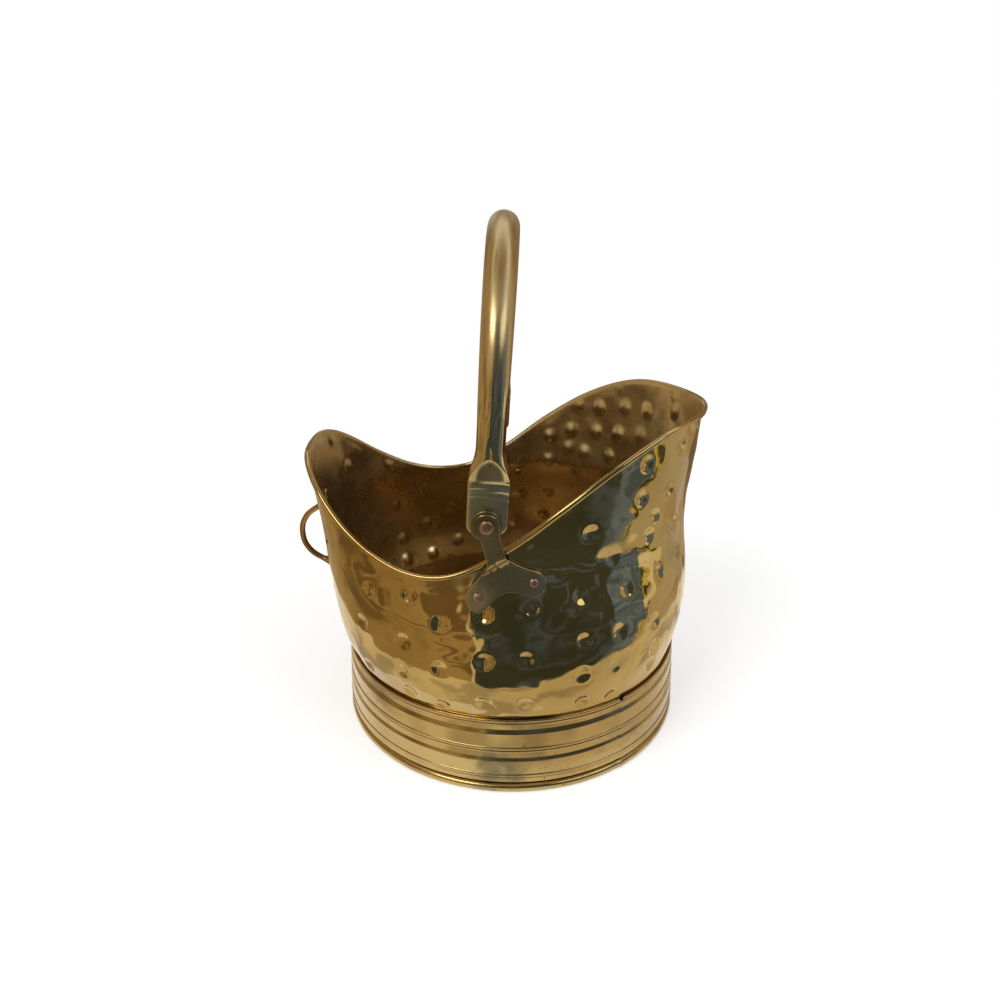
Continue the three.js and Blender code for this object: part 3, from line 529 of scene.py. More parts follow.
def bail_wear_and_painted_shade(graph, coords, group, polish):
    """Sets how dull and how satin the bail is, and returns its colour with the painted shade of the
    arched places.
    """
    axes = graph.add("ShaderNodeSeparateXYZ", Vector=coords).outputs
    dulled = graph.times(graph.band(axes["Z"], *DULL_HEIGHTS), DULL_SHARE)
    satin = graph.times(graph.band(axes["Z"], *SATIN_HEIGHTS), SATIN_ROUGHNESS)
    graph.feed(group.inputs["Dulling"], dulled)
    graph.feed(group.inputs["Polish"], graph.plus(satin, polish))
    aside = graph.math("DIVIDE", graph.minus(axes["X"], ARCH_MIDDLE_X), ARCH_HALF_WIDTH)
    above = graph.math("DIVIDE", graph.minus(axes["Z"], ARCH_FOOT_Z), ARCH_RISE)
    square = graph.plus(graph.times(aside, aside), graph.times(above, above))
    # The arch is painted shade: a nearly black place painted into the colour of each facet.
    arch = graph.times(graph.band(square, *ARCH_EDGE), graph.band(above, *ARCH_FOOT_EDGE))
    return graph.blend(arch, group.outputs["Color"], ARCH_PAINTED_SHADE)


def new_material(name):
    material = bpy.data.materials.new(name)
    material.use_nodes = True
    return material, Graph(material.node_tree), material.node_tree.nodes["Principled BSDF"]


def metal(name, tones, amounts, polish, bump=FINE_RELIEF, stretch=(1, 1, 1), wear_and_shade=None):
    """A tarnished metal. tones are bright, brown and olive, and amounts are of brown, olive and
    pits. The last argument adds what only one piece has: the bail's dulling and its painted shade."""
    material, graph, shader = new_material(name)
    coords = graph.coords()
    stretched = graph.add("ShaderNodeMapping", Vector=coords, Scale=stretch).outputs[0]
    group = graph.add(
        "ShaderNodeGroup", {"node_tree": TARNISH}, Place=stretched, Polish=polish,
        **{label: (*tone, 1) for label, tone in zip(("Bright", "Brown", "Olive"), tones)},
        **dict(zip(("Brown_Amount", "Olive_Amount", "Pit_Amount"), amounts)),
    )
    color = wear_and_shade(graph, coords, group, polish) if wear_and_shade else group.outputs["Color"]
    graph.feed(shader.inputs["Base Color"], color)
    graph.feed(shader.inputs["Roughness"], group.outputs["Roughness"])
    shader.inputs["Metallic"].default_value = 1.0
    relief = graph.add("ShaderNodeBump", Height=group.outputs["Height"], Distance=bump)
    graph.feed(shader.inputs["Normal"], relief.outputs[0])
    return material


HAMMERED = metal(
    "hammered_brass", [(0.53, 0.37, 0.135), (0.38, 0.25, 0.085), (0.25, 0.2, 0.1)],
    amounts=(0.85, 0.45, 0.6), polish=0.035,
)
# Painted light: a paler copy of the outside's brass, brightened to make up for the shade inside the
# bowl.
BRIGHTENED_INSIDE = metal(
    "hammered_brass_inside_brightened", [(0.74, 0.6, 0.36), (0.58, 0.44, 0.23), (0.4, 0.33, 0.2)],
    amounts=(0.8, 0.6, 0.25), polish=0.25,
)
FOOT_BRASS = metal(
    "foot_brass", [(0.52, 0.37, 0.145), (0.36, 0.235, 0.085), (0.18, 0.155, 0.085)],
    amounts=(0.9, 0.85, 0.9), polish=0.13,
)
PLATE_BRASS = metal(
    "plate_brass", [(0.26, 0.15, 0.05), (0.13, 0.07, 0.02), (0.08, 0.06, 0.03)],
    amounts=(0.9, 0.6, 0.8), polish=0.35,
)
HANDLE_BRASS = metal(
    "handle_brass", [(0.56, 0.42, 0.2), (0.42, 0.25, 0.085), (0.46, 0.4, 0.24)],
    amounts=(0.9, 0.45, 0.3), polish=0.1, stretch=(1, 0.35, 0.35), wear_and_shade=bail_wear_and_painted_shade,
)
LOOP_BRASS = metal(
    "loop_brass", [(0.45, 0.3, 0.12), (0.28, 0.16, 0.05), (0.14, 0.11, 0.06)],
    amounts=(0.9, 0.6, 0.5), polish=0.22,
)
BRACKET_BRASS = metal(
    "bracket_brass", [(0.46, 0.35, 0.17), (0.29, 0.21, 0.09), (0.18, 0.16, 0.09)],
    amounts=(0.9, 0.95, 1.0), polish=0.24, bump=0.0004,
)
COPPER = metal(
    "peened_copper", [(0.52, 0.33, 0.23), (0.31, 0.18, 0.11), (0.18, 0.13, 0.1)],
    amounts=(0.8, 0.7, 1.0), polish=0.3, bump=0.0008,
)
IRON = metal(
    "iron_wire", [(0.3, 0.29, 0.27), (0.16, 0.1, 0.07), (0.1, 0.1, 0.09)],
    amounts=(0.6, 0.4, 0.6), polish=0.4,
)


# ---- Geometry Nodes ----

BOWL_POWER = 1.05
GEOMETRY = ("Geometry", "Geometry")


def applied(thing, tree, values):
    """Runs a tree on a piece with named values and leaves a plain mesh."""
    modifier = thing.modifiers.new("shape", "NODES")
    modifier.node_group = tree
    for item in tree.interface.items_tree:
        if item.item_type == "SOCKET" and item.in_out == "INPUT" and item.name in values:
            modifier[item.identifier] = values[item.name]
    bpy.context.view_layer.update()
    evaluated = thing.evaluated_get(bpy.context.evaluated_depsgraph_get())
    mesh = bpy.data.meshes.new_from_object(evaluated)
    thing.modifiers.clear()
    thing.data = mesh


def hammering_tree():
    """Sinks each part of the sheet by its nearest dent, and lets the planished wall wave."""
    sizes = ("Dent Radius", "Dent Depth", "Wave Depth", "Wave Scale")
    graph, given, made = new_tree(
        "hammering", "GeometryNodeTree",
        [
            GEOMETRY, ("Dents", "Object"), *[(size, "Float") for size in sizes],
            ("Outside Finish", "Material"), ("Inside Finish", "Material"),
        ],
        [GEOMETRY],
    )
    seat, outward = (graph.named(name, "FLOAT_VECTOR") for name in ("seat", "outward"))
    dents = graph.add("GeometryNodeObjectInfo", Object=given["Dents"]).outputs["Geometry"]
    near = graph.add("GeometryNodeProximity", {"target_element": "POINTS"}, Source_Position=seat)
    graph.feed(near.inputs[0], dents)
    which = graph.add("GeometryNodeSampleNearest", Geometry=dents, Sample_Position=seat)
    strength = graph.add(
        "GeometryNodeSampleIndex", {"data_type": "FLOAT"},
        Geometry=dents, Value=graph.named("strength", "FLOAT"), Index=which.outputs["Index"],
    )
    share = graph.math("DIVIDE", near.outputs["Distance"], given["Dent Radius"], clamp=True)
    bowl = graph.minus(1.0, graph.times(share, share), clamp=True)
    sink = graph.times(graph.math("POWER", bowl, BOWL_POWER), given["Dent Depth"])
    sink = graph.times(sink, strength.outputs["Value"])
    wave = graph.noise(seat, given["Wave Scale"], detail=2.0, roughness=0.5)
    wave = graph.times(graph.times(graph.minus(wave, 0.5), 2.0), given["Wave Depth"])
    move = graph.times(graph.minus(wave, sink), graph.named("give", "FLOAT"))
    offset = graph.add("ShaderNodeVectorMath", {"operation": "SCALE"}, Vector=outward, Scale=move)
    shaped = graph.add(
        "GeometryNodeSetPosition", Geometry=given["Geometry"], Offset=offset.outputs[0]
    )
    real = graph.add("GeometryNodeRealizeInstances", Geometry=shaped.outputs[0])
    outside = graph.add(
        "GeometryNodeSetMaterial", Geometry=real.outputs[0], Material=given["Outside Finish"]
    )
    inside = graph.add(
        "GeometryNodeSetMaterial", Geometry=outside.outputs[0], Material=given["Inside Finish"],
        Selection=graph.named("inside", "BOOLEAN"),
    )
    graph.feed(made["Geometry"], inside.outputs[0])
    return graph.tree


def rivet_tree():
    """Puts a copy of one fastener at each point, with its head facing the point's way."""
    graph, given, made = new_tree(
        "fasteners", "GeometryNodeTree",
        [GEOMETRY, ("Fastener", "Object"), ("Finish", "Material"), ("Seed", "Int")],
        [GEOMETRY],
    )
    fastener = graph.add("GeometryNodeObjectInfo", Object=given["Fastener"]).outputs["Geometry"]
    turn = graph.add("FunctionNodeRandomValue", {"data_type": "FLOAT"}, Seed=given["Seed"])
    low, high = [socket for socket in in_use(turn.inputs) if socket.type == "VALUE"][:2]
    low.default_value, high.default_value = 0.0, 2 * math.pi
    spin = graph.add(
        "FunctionNodeAxisAngleToRotation", Axis=(0, 0, 1), Angle=in_use(turn.outputs)[0]
    )
    aim = graph.add(
        "FunctionNodeAlignRotationToVector", {"axis": "Z"},
        Vector=graph.named("facing", "FLOAT_VECTOR"), Rotation=spin.outputs[0],
    )
    copies = graph.add(
        "GeometryNodeInstanceOnPoints",
        Points=given["Geometry"], Instance=fastener, Rotation=aim.outputs[0],
    )
    real = graph.add("GeometryNodeRealizeInstances", Geometry=copies.outputs[0])
    painted = graph.add(
        "GeometryNodeSetMaterial", Geometry=real.outputs[0], Material=given["Finish"]
    )
    graph.feed(made["Geometry"], painted.outputs[0])
    return graph.tree


# ---- Hammered body ----

BODY_COLUMNS = 544
OUTSIDE_ROWS = 98
INSIDE_ROWS = 64
CURL_STEPS = 7
BODY_CRISP = 60
# The sheet is free to move from the first of these distances on, and fully from the second.
GIVE_BELOW_RIM = (1, 9)
GIVE_ABOVE_FOOT = (0.5, 5)

DENT_RADIUS = 5.8
DENT_DEPTH = 1.6
DENT_ROW_PITCH = 22.5
DENT_SPACING = 29
DENT_LOWEST = 68
DENT_RIM_CLEARANCE = 8
DENT_STRENGTHS = (0.85, 1.15)
DENT_JITTER = 2.2
DENT_JITTER_RADIUS = 120
DENT_APART = 0.75 * DENT_SPACING
DENT_SEED = 7
SIGHT_SLACK = 3
WAVE_DEPTH = 1.7
WAVE_LENGTH = 40

# Where the photograph shows a dent's middle, in its own 1000 x 1000 pixels
SEEN_DENTS_OUTSIDE = [
    (591, 534), (613, 556), (581, 596), (585, 642), (526, 660), (484, 662), (620, 632), (583, 675),
    (532, 609), (482, 615), (439, 625), (439, 669), (409, 595), (403, 672), (403, 641), (362, 622),
    (369, 588), (370, 665), (410, 691), (443, 705), (483, 703), (525, 704), (582, 702), (611, 696),
    (616, 666), (655, 621), (654, 647), (650, 664), (627, 590), (649, 536), (659, 573), (677, 551),
    (648, 464), (642, 499), (682, 445), (670, 490), (655, 517), (674, 523),
]
SEEN_DENTS_INSIDE = [
    (451, 507), (426, 523), (458, 539), (433, 553), (404, 538), (407, 559), (395, 506), (515, 521),
    (520, 493), (548, 492), (519, 463), (549, 460), (584, 452), (568, 448), (578, 474), (543, 514),
    (390, 463), (599, 407), (625, 407), (647, 411), (571, 430), (596, 432), (618, 433), (641, 435),
    (550, 436), (609, 456), (577, 403), (619, 385), (675, 394), (675, 411), (332, 438), (347, 467),
]


def curl_points(angle, top, radius, turns):
    """Points round the rim's wire, at every angle."""
    ahead, behind = (body_point(a, wall_top(a)) for a in (angle + NUDGE, angle - NUDGE))
    out = outwards(angle, top)
    up = unit(np.cross(out, unit(ahead - behind)))
    up = up * np.sign(up[:, 2:3])
    centre = body_point(angle, top) + out * CURL_INNER_RADIUS
    c, s = np.cos(turns)[None, :, None], np.sin(turns)[None, :, None]
    return centre[:, None] + radius * (out[:, None] * c + up[:, None] * s)


def wall_rows(angle, top, rows):
    """The wall's outside, its outward way, and how free it is to move."""
    z = FOOT_HEIGHT + (top[:, None] - FOOT_HEIGHT) * np.linspace(0, 1, rows)
    below, above = top[:, None] - z, z - FOOT_HEIGHT
    give = smoothstep(below, *GIVE_BELOW_RIM) * smoothstep(above, *GIVE_ABOVE_FOOT)
    return body_point(angle[:, None], z), outwards(angle[:, None], z), give


def body_grid():
    """The sheet's section at every angle: up the inside, over the curl, and down the outside."""
    angle = turns_round(BODY_COLUMNS)
    top = wall_top(angle)
    inner_wall, outer_wall = (wall_rows(angle, top, rows) for rows in (INSIDE_ROWS, OUTSIDE_ROWS))
    around = np.stack([np.cos(angle), np.sin(angle), 0 * angle], -1)[:, None]
    inside = inner_wall[0] - inner_wall[1] * SHEET
    inside[:, :1] = around * (SLEEVE_RADIUS - SHEET) + [0, 0, FOOT_HEIGHT]
    inner_low, outer_low = (
        around * radius + [0, 0, SLEEVE_BOTTOM] for radius in (SLEEVE_RADIUS - SHEET, SLEEVE_RADIUS)
    )
    turns = math.pi + (RIM_CURL_END - math.pi) * np.arange(1, CURL_STEPS + 1) / CURL_STEPS
    over = curl_points(angle, top, CURL_OUTER_RADIUS, turns)
    back = curl_points(angle, top, CURL_INNER_RADIUS, turns[::-1])
    points = np.concatenate([inner_low, inside, over, back, outer_wall[0][:, ::-1], outer_low], 1)
    seat, outward, give = points.copy(), np.zeros_like(points), np.zeros(points.shape[:2])
    for whole, inner, outer in zip((seat, outward, give), inner_wall, outer_wall):
        whole[:, 1:1 + INSIDE_ROWS] = inner
        whole[:, -1 - OUTSIDE_ROWS:-1] = outer[:, ::-1]
    return points, seat, outward, give


def plain_body():
    points, seat, outward, give = body_grid()
    rings = points.shape[1]
    faces = ring_faces(BODY_COLUMNS, rings, True)
    body = mesh_object("hammered_body", place(points.reshape(-1, 3)), faces)
    add_attribute(body.data, "seat", "FLOAT_VECTOR", "POINT", place(seat))
    add_attribute(body.data, "outward", "FLOAT_VECTOR", "POINT", outward)
    add_attribute(body.data, "give", "FLOAT", "POINT", give)
    within = np.arange(rings) < 1 + INSIDE_ROWS
    add_attribute(body.data, "inside", "BOOLEAN", "FACE", np.tile(within, BODY_COLUMNS))
    return body


def dent_seats(body):
    """Each dent's seat and strength. Seen dents are where the photograph shows them. Where it
    doesn't show the body, staggered rows carry on round it."""
    chance = random.Random(DENT_SEED)
    mesh = body.data
    tree = BVHTree.FromPolygons([v.co for v in mesh.vertices], [p.vertices for p in mesh.polygons])
    seats = []
    for pixels, within in ((SEEN_DENTS_OUTSIDE, 0), (SEEN_DENTS_INSIDE, SHEET * MM)):
        for pixel in pixels:
            hit, normal, _, _ = tree.ray_cast(CAMERA_PLACE, pixel_ray(pixel))
            if hit is not None:
                seats.append((hit - normal * within, chance.uniform(*DENT_STRENGTHS)))

    def shown(point):
        way = point - CAMERA_PLACE
        hit, _, _, distance = tree.ray_cast(CAMERA_PLACE, way.normalized())
        return hit is not None and distance > way.length - SIGHT_SLACK * MM

    for row in range(int((max(RIM_HEIGHTS) - DENT_LOWEST) / DENT_ROW_PITCH) + 1):
        z = DENT_LOWEST + row * DENT_ROW_PITCH
        count = round(2 * math.pi * float(side_reach(z)) / DENT_SPACING)
        for i in range(count):
            angle = (i + 0.5 * (row % 2)) * 2 * math.pi / count
            angle += chance.uniform(-1, 1) * DENT_JITTER / DENT_JITTER_RADIUS
            height = z + chance.uniform(-1, 1) * DENT_JITTER
            strength = chance.uniform(*DENT_STRENGTHS)
            point = body_point(angle, height)
            if height > float(rim_top(point[0])) - DENT_RIM_CLEARANCE - DENT_RADIUS:
                continue
            seat = Vector(place(point))
            inner = seat - Vector(outwards(angle, height)) * SHEET * MM
            crowded = any((seat - other).length < DENT_APART * MM for other, _ in seats)
            if not (crowded or shown(seat) or shown(inner)):
                seats.append((seat, strength))
    return seats


def hammered_body():
    body = plain_body()
    seats, strengths = zip(*dent_seats(body))
    dents = mesh_object("dents", seats)
    add_attribute(dents.data, "strength", "FLOAT", "POINT", strengths)
    applied(body, hammering_tree(), {
        "Dents": dents,
        "Dent Radius": DENT_RADIUS * MM,
        "Dent Depth": DENT_DEPTH * MM,
        "Wave Depth": WAVE_DEPTH * MM,
        "Wave Scale": 1 / (WAVE_LENGTH * MM),
        "Outside Finish": HAMMERED,
        "Inside Finish": BRIGHTENED_INSIDE,
    })
    bpy.data.objects.remove(dents)
    finish_piece(body, "scuttle", ["body_shell"], BODY_CRISP)


# ---- Foot ring ----

FOOT_SEGMENTS = 360
FOOT_CRISP = 50
BEAD_STEPS = 7
# The fine groove under a bead, from the bead's lower edge, as [radius, height]
BEAD_GROOVE = [(-0.25, -0.25), (-0.05, -0.7)]
COVE_DEPTH = 0.75
COVE_FULLNESS = 0.8
COVE_PARTS = np.linspace(0.12, 1, 8)
COVE_LIP = 0.5
ROLL_TURNS = np.linspace(math.radians(126), -math.pi, 15)
SEAM_PIXEL = (631, 705)
SEAM_LAP = 0.45
SEAM_FADE = math.radians(30)
NOTCH_TOP = 3.3
NOTCH_DEPTH = 0.85
NOTCH_WIDTH = math.radians(1.2)


def bead(radius, top):
    """A small half-round moulding with a fine groove under it."""
    low = top - FOOT_BEAD_HEIGHT
    return [
        *[
            (radius + FOOT_BEAD_RISE * math.sin(a), top - FOOT_BEAD_HEIGHT * (1 - math.cos(a)) / 2)
            for a in np.linspace(0, math.pi, BEAD_STEPS)
        ],
        *[(radius + out, low + up) for out, up in BEAD_GROOVE],
    ]


def foot_roll(radius, turns):
    return [
        (FOOT_CURL_RADIUS + radius * math.cos(a), FOOT_CURL_OUTER + radius * math.sin(a))
        for a in turns
    ]


def foot_profile():
    """Down the outside, round the rolled edge, and up the inside."""
    outside = []
    for step in (0, 1):
        top = FOOT_HEIGHT - step * FOOT_STEP_PITCH
        radius = FOOT_TOP_RADIUS + step * FOOT_STEP_REACH
        slope_top = top - FOOT_BEAD_HEIGHT
        slope_end = slope_top - FOOT_SLOPE_HEIGHT
        outside += bead(radius, top)
        for part in COVE_PARTS:
            sunk = COVE_DEPTH * math.sin(math.pi * part) ** COVE_FULLNESS
            reach = FOOT_STEP_REACH * part**3 - sunk
            outside.append((radius + reach, lerp(slope_top, slope_end, part)))
        outside.append((radius + FOOT_STEP_REACH, slope_end - COVE_LIP))
    outside += bead(FOOT_WIDEST, FOOT_HEIGHT - 2 * FOOT_STEP_PITCH)
    curl_top = 2 * FOOT_CURL_OUTER
    tuck_top = curl_top + FOOT_TUCK_HEIGHT
    wall = FOOT_CURL_RADIUS - FOOT_CURL_OUTER + FOOT_SHEET
    slope_drop = FOOT_BEAD_HEIGHT + FOOT_SLOPE_HEIGHT
    return [
        *outside,
        (FOOT_WIDEST, tuck_top),
        (wall, curl_top),
        *foot_roll(FOOT_CURL_OUTER - FOOT_SHEET, ROLL_TURNS[::-1]),
        *foot_roll(FOOT_CURL_OUTER, ROLL_TURNS),
        (wall - FOOT_SHEET, curl_top),
        (FOOT_WIDEST - FOOT_SHEET, tuck_top),
        (FOOT_WIDEST - FOOT_SHEET, FOOT_HEIGHT - FOOT_STEP_PITCH - slope_drop),
        (FOOT_TOP_RADIUS, FOOT_HEIGHT - FOOT_STEP_PITCH),
        (FOOT_TOP_RADIUS, FOOT_HEIGHT - slope_drop),
        (SLEEVE_RADIUS + SEAT_GAP, FOOT_HEIGHT - FOOT_BEAD_HEIGHT),
        (SLEEVE_RADIUS + SEAT_GAP, FOOT_HEIGHT),
    ]


def lap_foot(ring):
    """Laps the strip's end over its start, with a small notch at the top, where the photograph
    shows them."""
    ray = pixel_ray(SEAM_PIXEL)
    at_top = CAMERA_PLACE + ray * ((FOOT_HIGH.z - CAMERA_PLACE.z) / ray.z)
    axis = FOOT_AXIS_X * MM
    seam = math.atan2(at_top.y, at_top.x - axis)
    for vertex in ring.data.vertices:
        x, y = vertex.co.x - axis, vertex.co.y
        past = (math.atan2(y, x) - seam) % (2 * math.pi)
        lapped = 1 + SEAM_LAP * MM / math.hypot(x, y) * max(0, 1 - past / SEAM_FADE) ** 2
        vertex.co.x, vertex.co.y = axis + x * lapped, y * lapped
        above = vertex.co.z - (FOOT_HEIGHT - NOTCH_TOP) * MM
        if above > 0 and min(past, 2 * math.pi - past) < NOTCH_WIDTH / 2:
            vertex.co.z -= NOTCH_DEPTH * above


def foot_ring():
    ring = lathed("foot_moulding", foot_profile()[::-1], FOOT_SEGMENTS, (FOOT_AXIS_X, 0, 0))
    lap_foot(ring)
    paint(ring, FOOT_BRASS)
    finish_piece(ring, "scuttle", ["foot_ring"], FOOT_CRISP)


# ---- Bail ----

BAR_CRISP = 45
BAIL_SIDES = 56
ARM_STATIONS = 110
ARCH_STATIONS = 50
EYE_INNER_Y = float(
    body_side(PIVOT_X, PIVOT_Z) + CURL_INNER_RADIUS + CURL_OUTER_RADIUS + BRACKET_STAND_OFF
)
EYE_END_Y = EYE_INNER_Y - SEAT_GAP - EYE_END_HALF
BAIL_ARCH_RISE = BAIL_HEIGHT - GRIP_RADIUS - BAIL_STRAIGHT
FLAT_SQUARENESS = 5
SHOULDER_START = EYE_END_TOP - 1
SHOULDER_END = EYE_END_TOP + 0.55 * CRIMP_LENGTH
FACET_LENGTH = 17
FACET_TOP = EYE_END_TOP + FACET_LENGTH
# Each crease's height above the flat's top, its rise, and its slant
CREASES = ((-8.2, 0.2, 0.05), (-5.4, 0.34, -0.13), (-3, 0.44, 0.07), (0.6, 0.32, -0.09))
CREASE_WIDTH = 0.95
CREASE_BOW = 1.6
CREASE_BOW_REACH = 12
GROOVE_DEPTH = 0.7
GROOVE_WIDTH = 1.5
GROOVE_ASIDE = -0.6
GROOVE_START = EYE_END_TOP + 0.6 * FACET_LENGTH
GROOVE_HEIGHT = 18


def bar_ring(centre, across, normal, flat, thick, power, sides, limit=None, relief=None):
    """A ring of a bar's section. limit planes it flat, and relief(places across) raises it."""
    turn = turns_round(sides)
    a, b = flat * squared(np.cos(turn), power), thick * squared(np.sin(turn), power)
    if limit is not None:
        b = np.clip(b, -limit, limit)
    if relief is not None:
        b = b + relief(a) * np.sign(np.sin(turn))
    return centre + a[:, None] * across + b[:, None] * normal


def bail_stations():
    """(sideways, up, tilt) up one arm and to the top of the arch, then down the other."""
    arm = [
        (EYE_END_Y, up, 0.0) for up in np.linspace(-EYE_END_DROP, BAIL_STRAIGHT, ARM_STATIONS)
    ]
    for angle in np.linspace(0, math.pi / 2, ARCH_STATIONS)[1:]:
        c, s = math.cos(angle), math.sin(angle)
        tilt = math.atan2(EYE_END_Y * s, BAIL_ARCH_RISE * c)
        arm.append((EYE_END_Y * c, BAIL_STRAIGHT + BAIL_ARCH_RISE * s, tilt))
    return [*arm, *[(-side, up, math.pi - tilt) for side, up, tilt in arm[-2::-1]]]


def crease(up, across):
    """Wrinkles pressed into the flat where it meets the tube, which bow upwards in the middle, and
    the groove that runs up the tube from the facet's tip."""
    begun = smoothstep(up, GROOVE_START, FACET_TOP)
    ended = smoothstep(up, FACET_TOP, FACET_TOP + GROOVE_HEIGHT)
    groove = np.exp(-((across - GROOVE_ASIDE) / GROOVE_WIDTH) ** 2) * float(begun * (1 - ended))
    bowed = up + (across / CREASE_BOW_REACH) ** 2 * CREASE_BOW
    wrinkles = sum(
        rise * np.exp(-((bowed + lean * across - EYE_END_TOP - shift) / CREASE_WIDTH) ** 2)
        for shift, rise, lean in CREASES
    )
    return wrinkles - GROOVE_DEPTH * groove


def bail_ring(side, up, tilt, inset):
    """The bail's section at a station, drawn in by inset for the bore."""
    grip = lerp(ARM_RADIUS, GRIP_RADIUS, math.sin(tilt))
    shape = {}
    rounded, shoulder, short = 1.0, 1.0, 0
    if tilt in (0.0, math.pi):
        rounded = float(smoothstep(up, EYE_END_TOP, EYE_END_TOP + CRIMP_LENGTH))
        shoulder = float(smoothstep(up, SHOULDER_START, SHOULDER_END))
        short = max(0, EYE_END_CORNER - (up + EYE_END_DROP))
        if up < FACET_TOP:
            rise = min(1, max(0, (up - EYE_END_TOP) / FACET_LENGTH))
            shape["limit"] = lerp(EYE_END_HALF, grip, rise) - inset
        if inset == 0:
            shape["relief"] = lambda across: crease(up, across)
    flat = EYE_END_WIDTH / 2 - EYE_END_CORNER + math.sqrt(EYE_END_CORNER**2 - short**2)
    return bar_ring(
        np.array([0, side, up]), np.array([1, 0, 0]), np.array([0, math.cos(tilt), math.sin(tilt)]),
        lerp(flat, grip, rounded) - inset, lerp(EYE_END_HALF, grip, shoulder) - inset,
        lerp(FLAT_SQUARENESS, 2, shoulder), BAIL_SIDES, **shape,
    )


def bail_handle():
    stations = bail_stations()
    count = len(stations)
    layers = [[bail_ring(*s, inset) for s in stations] for inset in (0, BAIL_TUBE_WALL)]
    x, y, z = np.array(layers).reshape(-1, 3).T
    c, s = math.cos(BAIL_LEAN), math.sin(BAIL_LEAN)
    points = np.stack([x * c + z * s + PIVOT_X, y, z * c - x * s + PIVOT_Z], -1)
    skin = ring_faces(count, BAIL_SIDES, False)
    bore = skin[:, ::-1] + count * BAIL_SIDES
    ends = []
    for station, order in ((0, 1), (count - 1, -1)):
        for j in range(BAIL_SIDES):
            a, b = station * BAIL_SIDES + j, station * BAIL_SIDES + (j + 1) % BAIL_SIDES
            ends.append([b, a, a + count * BAIL_SIDES, b + count * BAIL_SIDES][::order])
    handle = mesh_object("bail", place(points), [*skin, *bore, *ends])
    paint(handle, HANDLE_BRASS)
    finish_piece(handle, "bail", ["bail_handle"], BAR_CRISP)


# ---- Back loop ----

LOOP_SIDES = 24
LOOP_STATIONS = 110
LOOP_FINE_STEPS = 600
LOOP_BENDS = (65, 40, 15, -15, -40, -65)
LOOP_TIP_SHARE = 0.1
LOOP_FOOT_TOP = LOOP_HEIGHT + LOOP_HALF_SPAN
LOOP_FOOT_BOTTOM = LOOP_HEIGHT - LOOP_HALF_SPAN
LOOP_RIVET_SETBACK = 9.4
LOOP_RIVET_HEIGHTS = (LOOP_FOOT_TOP + LOOP_RIVET_SETBACK, LOOP_FOOT_BOTTOM - LOOP_RIVET_SETBACK)


def pad_point(z):
    return body_point(math.pi, z) + outwards(math.pi, z) * (WALL_SEAT_GAP + LOOP_PAD_THICKNESS / 2)


def loop_path():
    behind = -float(back_reach(LOOP_HEIGHT))
    arc = [
        [behind - LOOP_DEPTH * math.cos(a), 0, LOOP_HEIGHT + LOOP_HALF_SPAN * math.sin(a)]
        for a in map(math.radians, LOOP_BENDS)
    ]
    past_foot = (LOOP_PAD_LENGTH, LOOP_RIVET_SETBACK, LOOP_ROD_RADIUS)
    above = [pad_point(LOOP_FOOT_TOP + past) for past in past_foot]
    below = [pad_point(LOOP_FOOT_BOTTOM - past) for past in past_foot[::-1]]
    return np.array([*above, *arc, *below])


def along_path(points, steps):
    """Even places along a smooth curve through the points, with the way that it runs."""
    lengths = np.append(0, np.cumsum(np.sqrt(np.linalg.norm(np.diff(points, axis=0), axis=1))))
    curves = [smooth_through(list(zip(lengths, values))) for values in points.T]
    along = np.linspace(0, lengths[-1], LOOP_FINE_STEPS)
    fine = np.stack([curve(along) for curve in curves], -1)
    run = np.append(0, np.cumsum(np.linalg.norm(np.diff(fine, axis=0), axis=1)))
    at = np.linspace(0, run[-1], steps)
    places = np.stack([np.interp(at, run, values) for values in fine.T], -1)
    return places, unit(np.gradient(places, axis=0))


def back_loop():
    across = np.array([0, 1, 0])
    rings = []
    for centre, way in zip(*along_path(loop_path(), LOOP_STATIONS)):
        beyond = abs(centre[2] - LOOP_HEIGHT) - LOOP_HALF_SPAN
        pad = float(smoothstep(beyond, -LOOP_ROD_RADIUS, LOOP_ROD_RADIUS / 2))
        to_end = 2 * (LOOP_PAD_LENGTH - beyond) / LOOP_PAD_HALF_WIDTH
        half_width = LOOP_PAD_HALF_WIDTH * math.sqrt(max(LOOP_TIP_SHARE, min(1, to_end)))
        flat, thick = (
            lerp(LOOP_ROD_RADIUS, size, pad) for size in (half_width, LOOP_PAD_THICKNESS / 2)
        )
        normal = unit(np.cross(way, across))
        rings.append(bar_ring(centre, across, normal, flat, thick, 2 + 2 * pad, LOOP_SIDES))
    first = range(LOOP_SIDES)
    last = [(len(rings) - 1) * LOOP_SIDES + j for j in first]
    faces = [*ring_faces(len(rings), LOOP_SIDES, False), first[::-1], last]
    loop = mesh_object("back_loop", place(np.array(rings).reshape(-1, 3)), faces)
    paint(loop, LOOP_BRASS)
    finish_piece(loop, "scuttle", ["back_loop_handle"], BAR_CRISP)


# ---- Brackets ----

PLATE_CRISP = 50
EDGE_ROUND = 0.6
EDGE_STEPS = 4
GRID_STEP = 1.6
GRID_CLEAR = 0.6 * GRID_STEP
GRID_ACROSS, GRID_UP = (-30, 30), (-60, 14)
MERGE_DISTANCE = 1e-6
EAR_NOTCH_TURN, EAR_SHOULDER_TURN = math.radians(-117), math.radians(58)
EAR_NOTCH_RISE = BRACKET_EAR_RADIUS / 8
NECK_FLARE = 2.1 * BRACKET_EAR_RADIUS
NOTCH_STEPS, ARC_STEPS, NECK_STEPS = 10, 26, 22


def arc_2d(centre, radius, start, end):
    x, y = centre
    turns = np.linspace(start, end, ARC_STEPS)
    return [(x + radius * math.cos(a), y + radius * math.sin(a)) for a in turns]


def bezier(points, steps):
    t = np.linspace(0, 1, steps)[:, None]
    curves = [np.array([point], float) for point in points]
    while len(curves) > 1:
        curves = [a * (1 - t) + b * t for a, b in zip(curves, curves[1:])]
    return [tuple(p) for p in curves[0]]


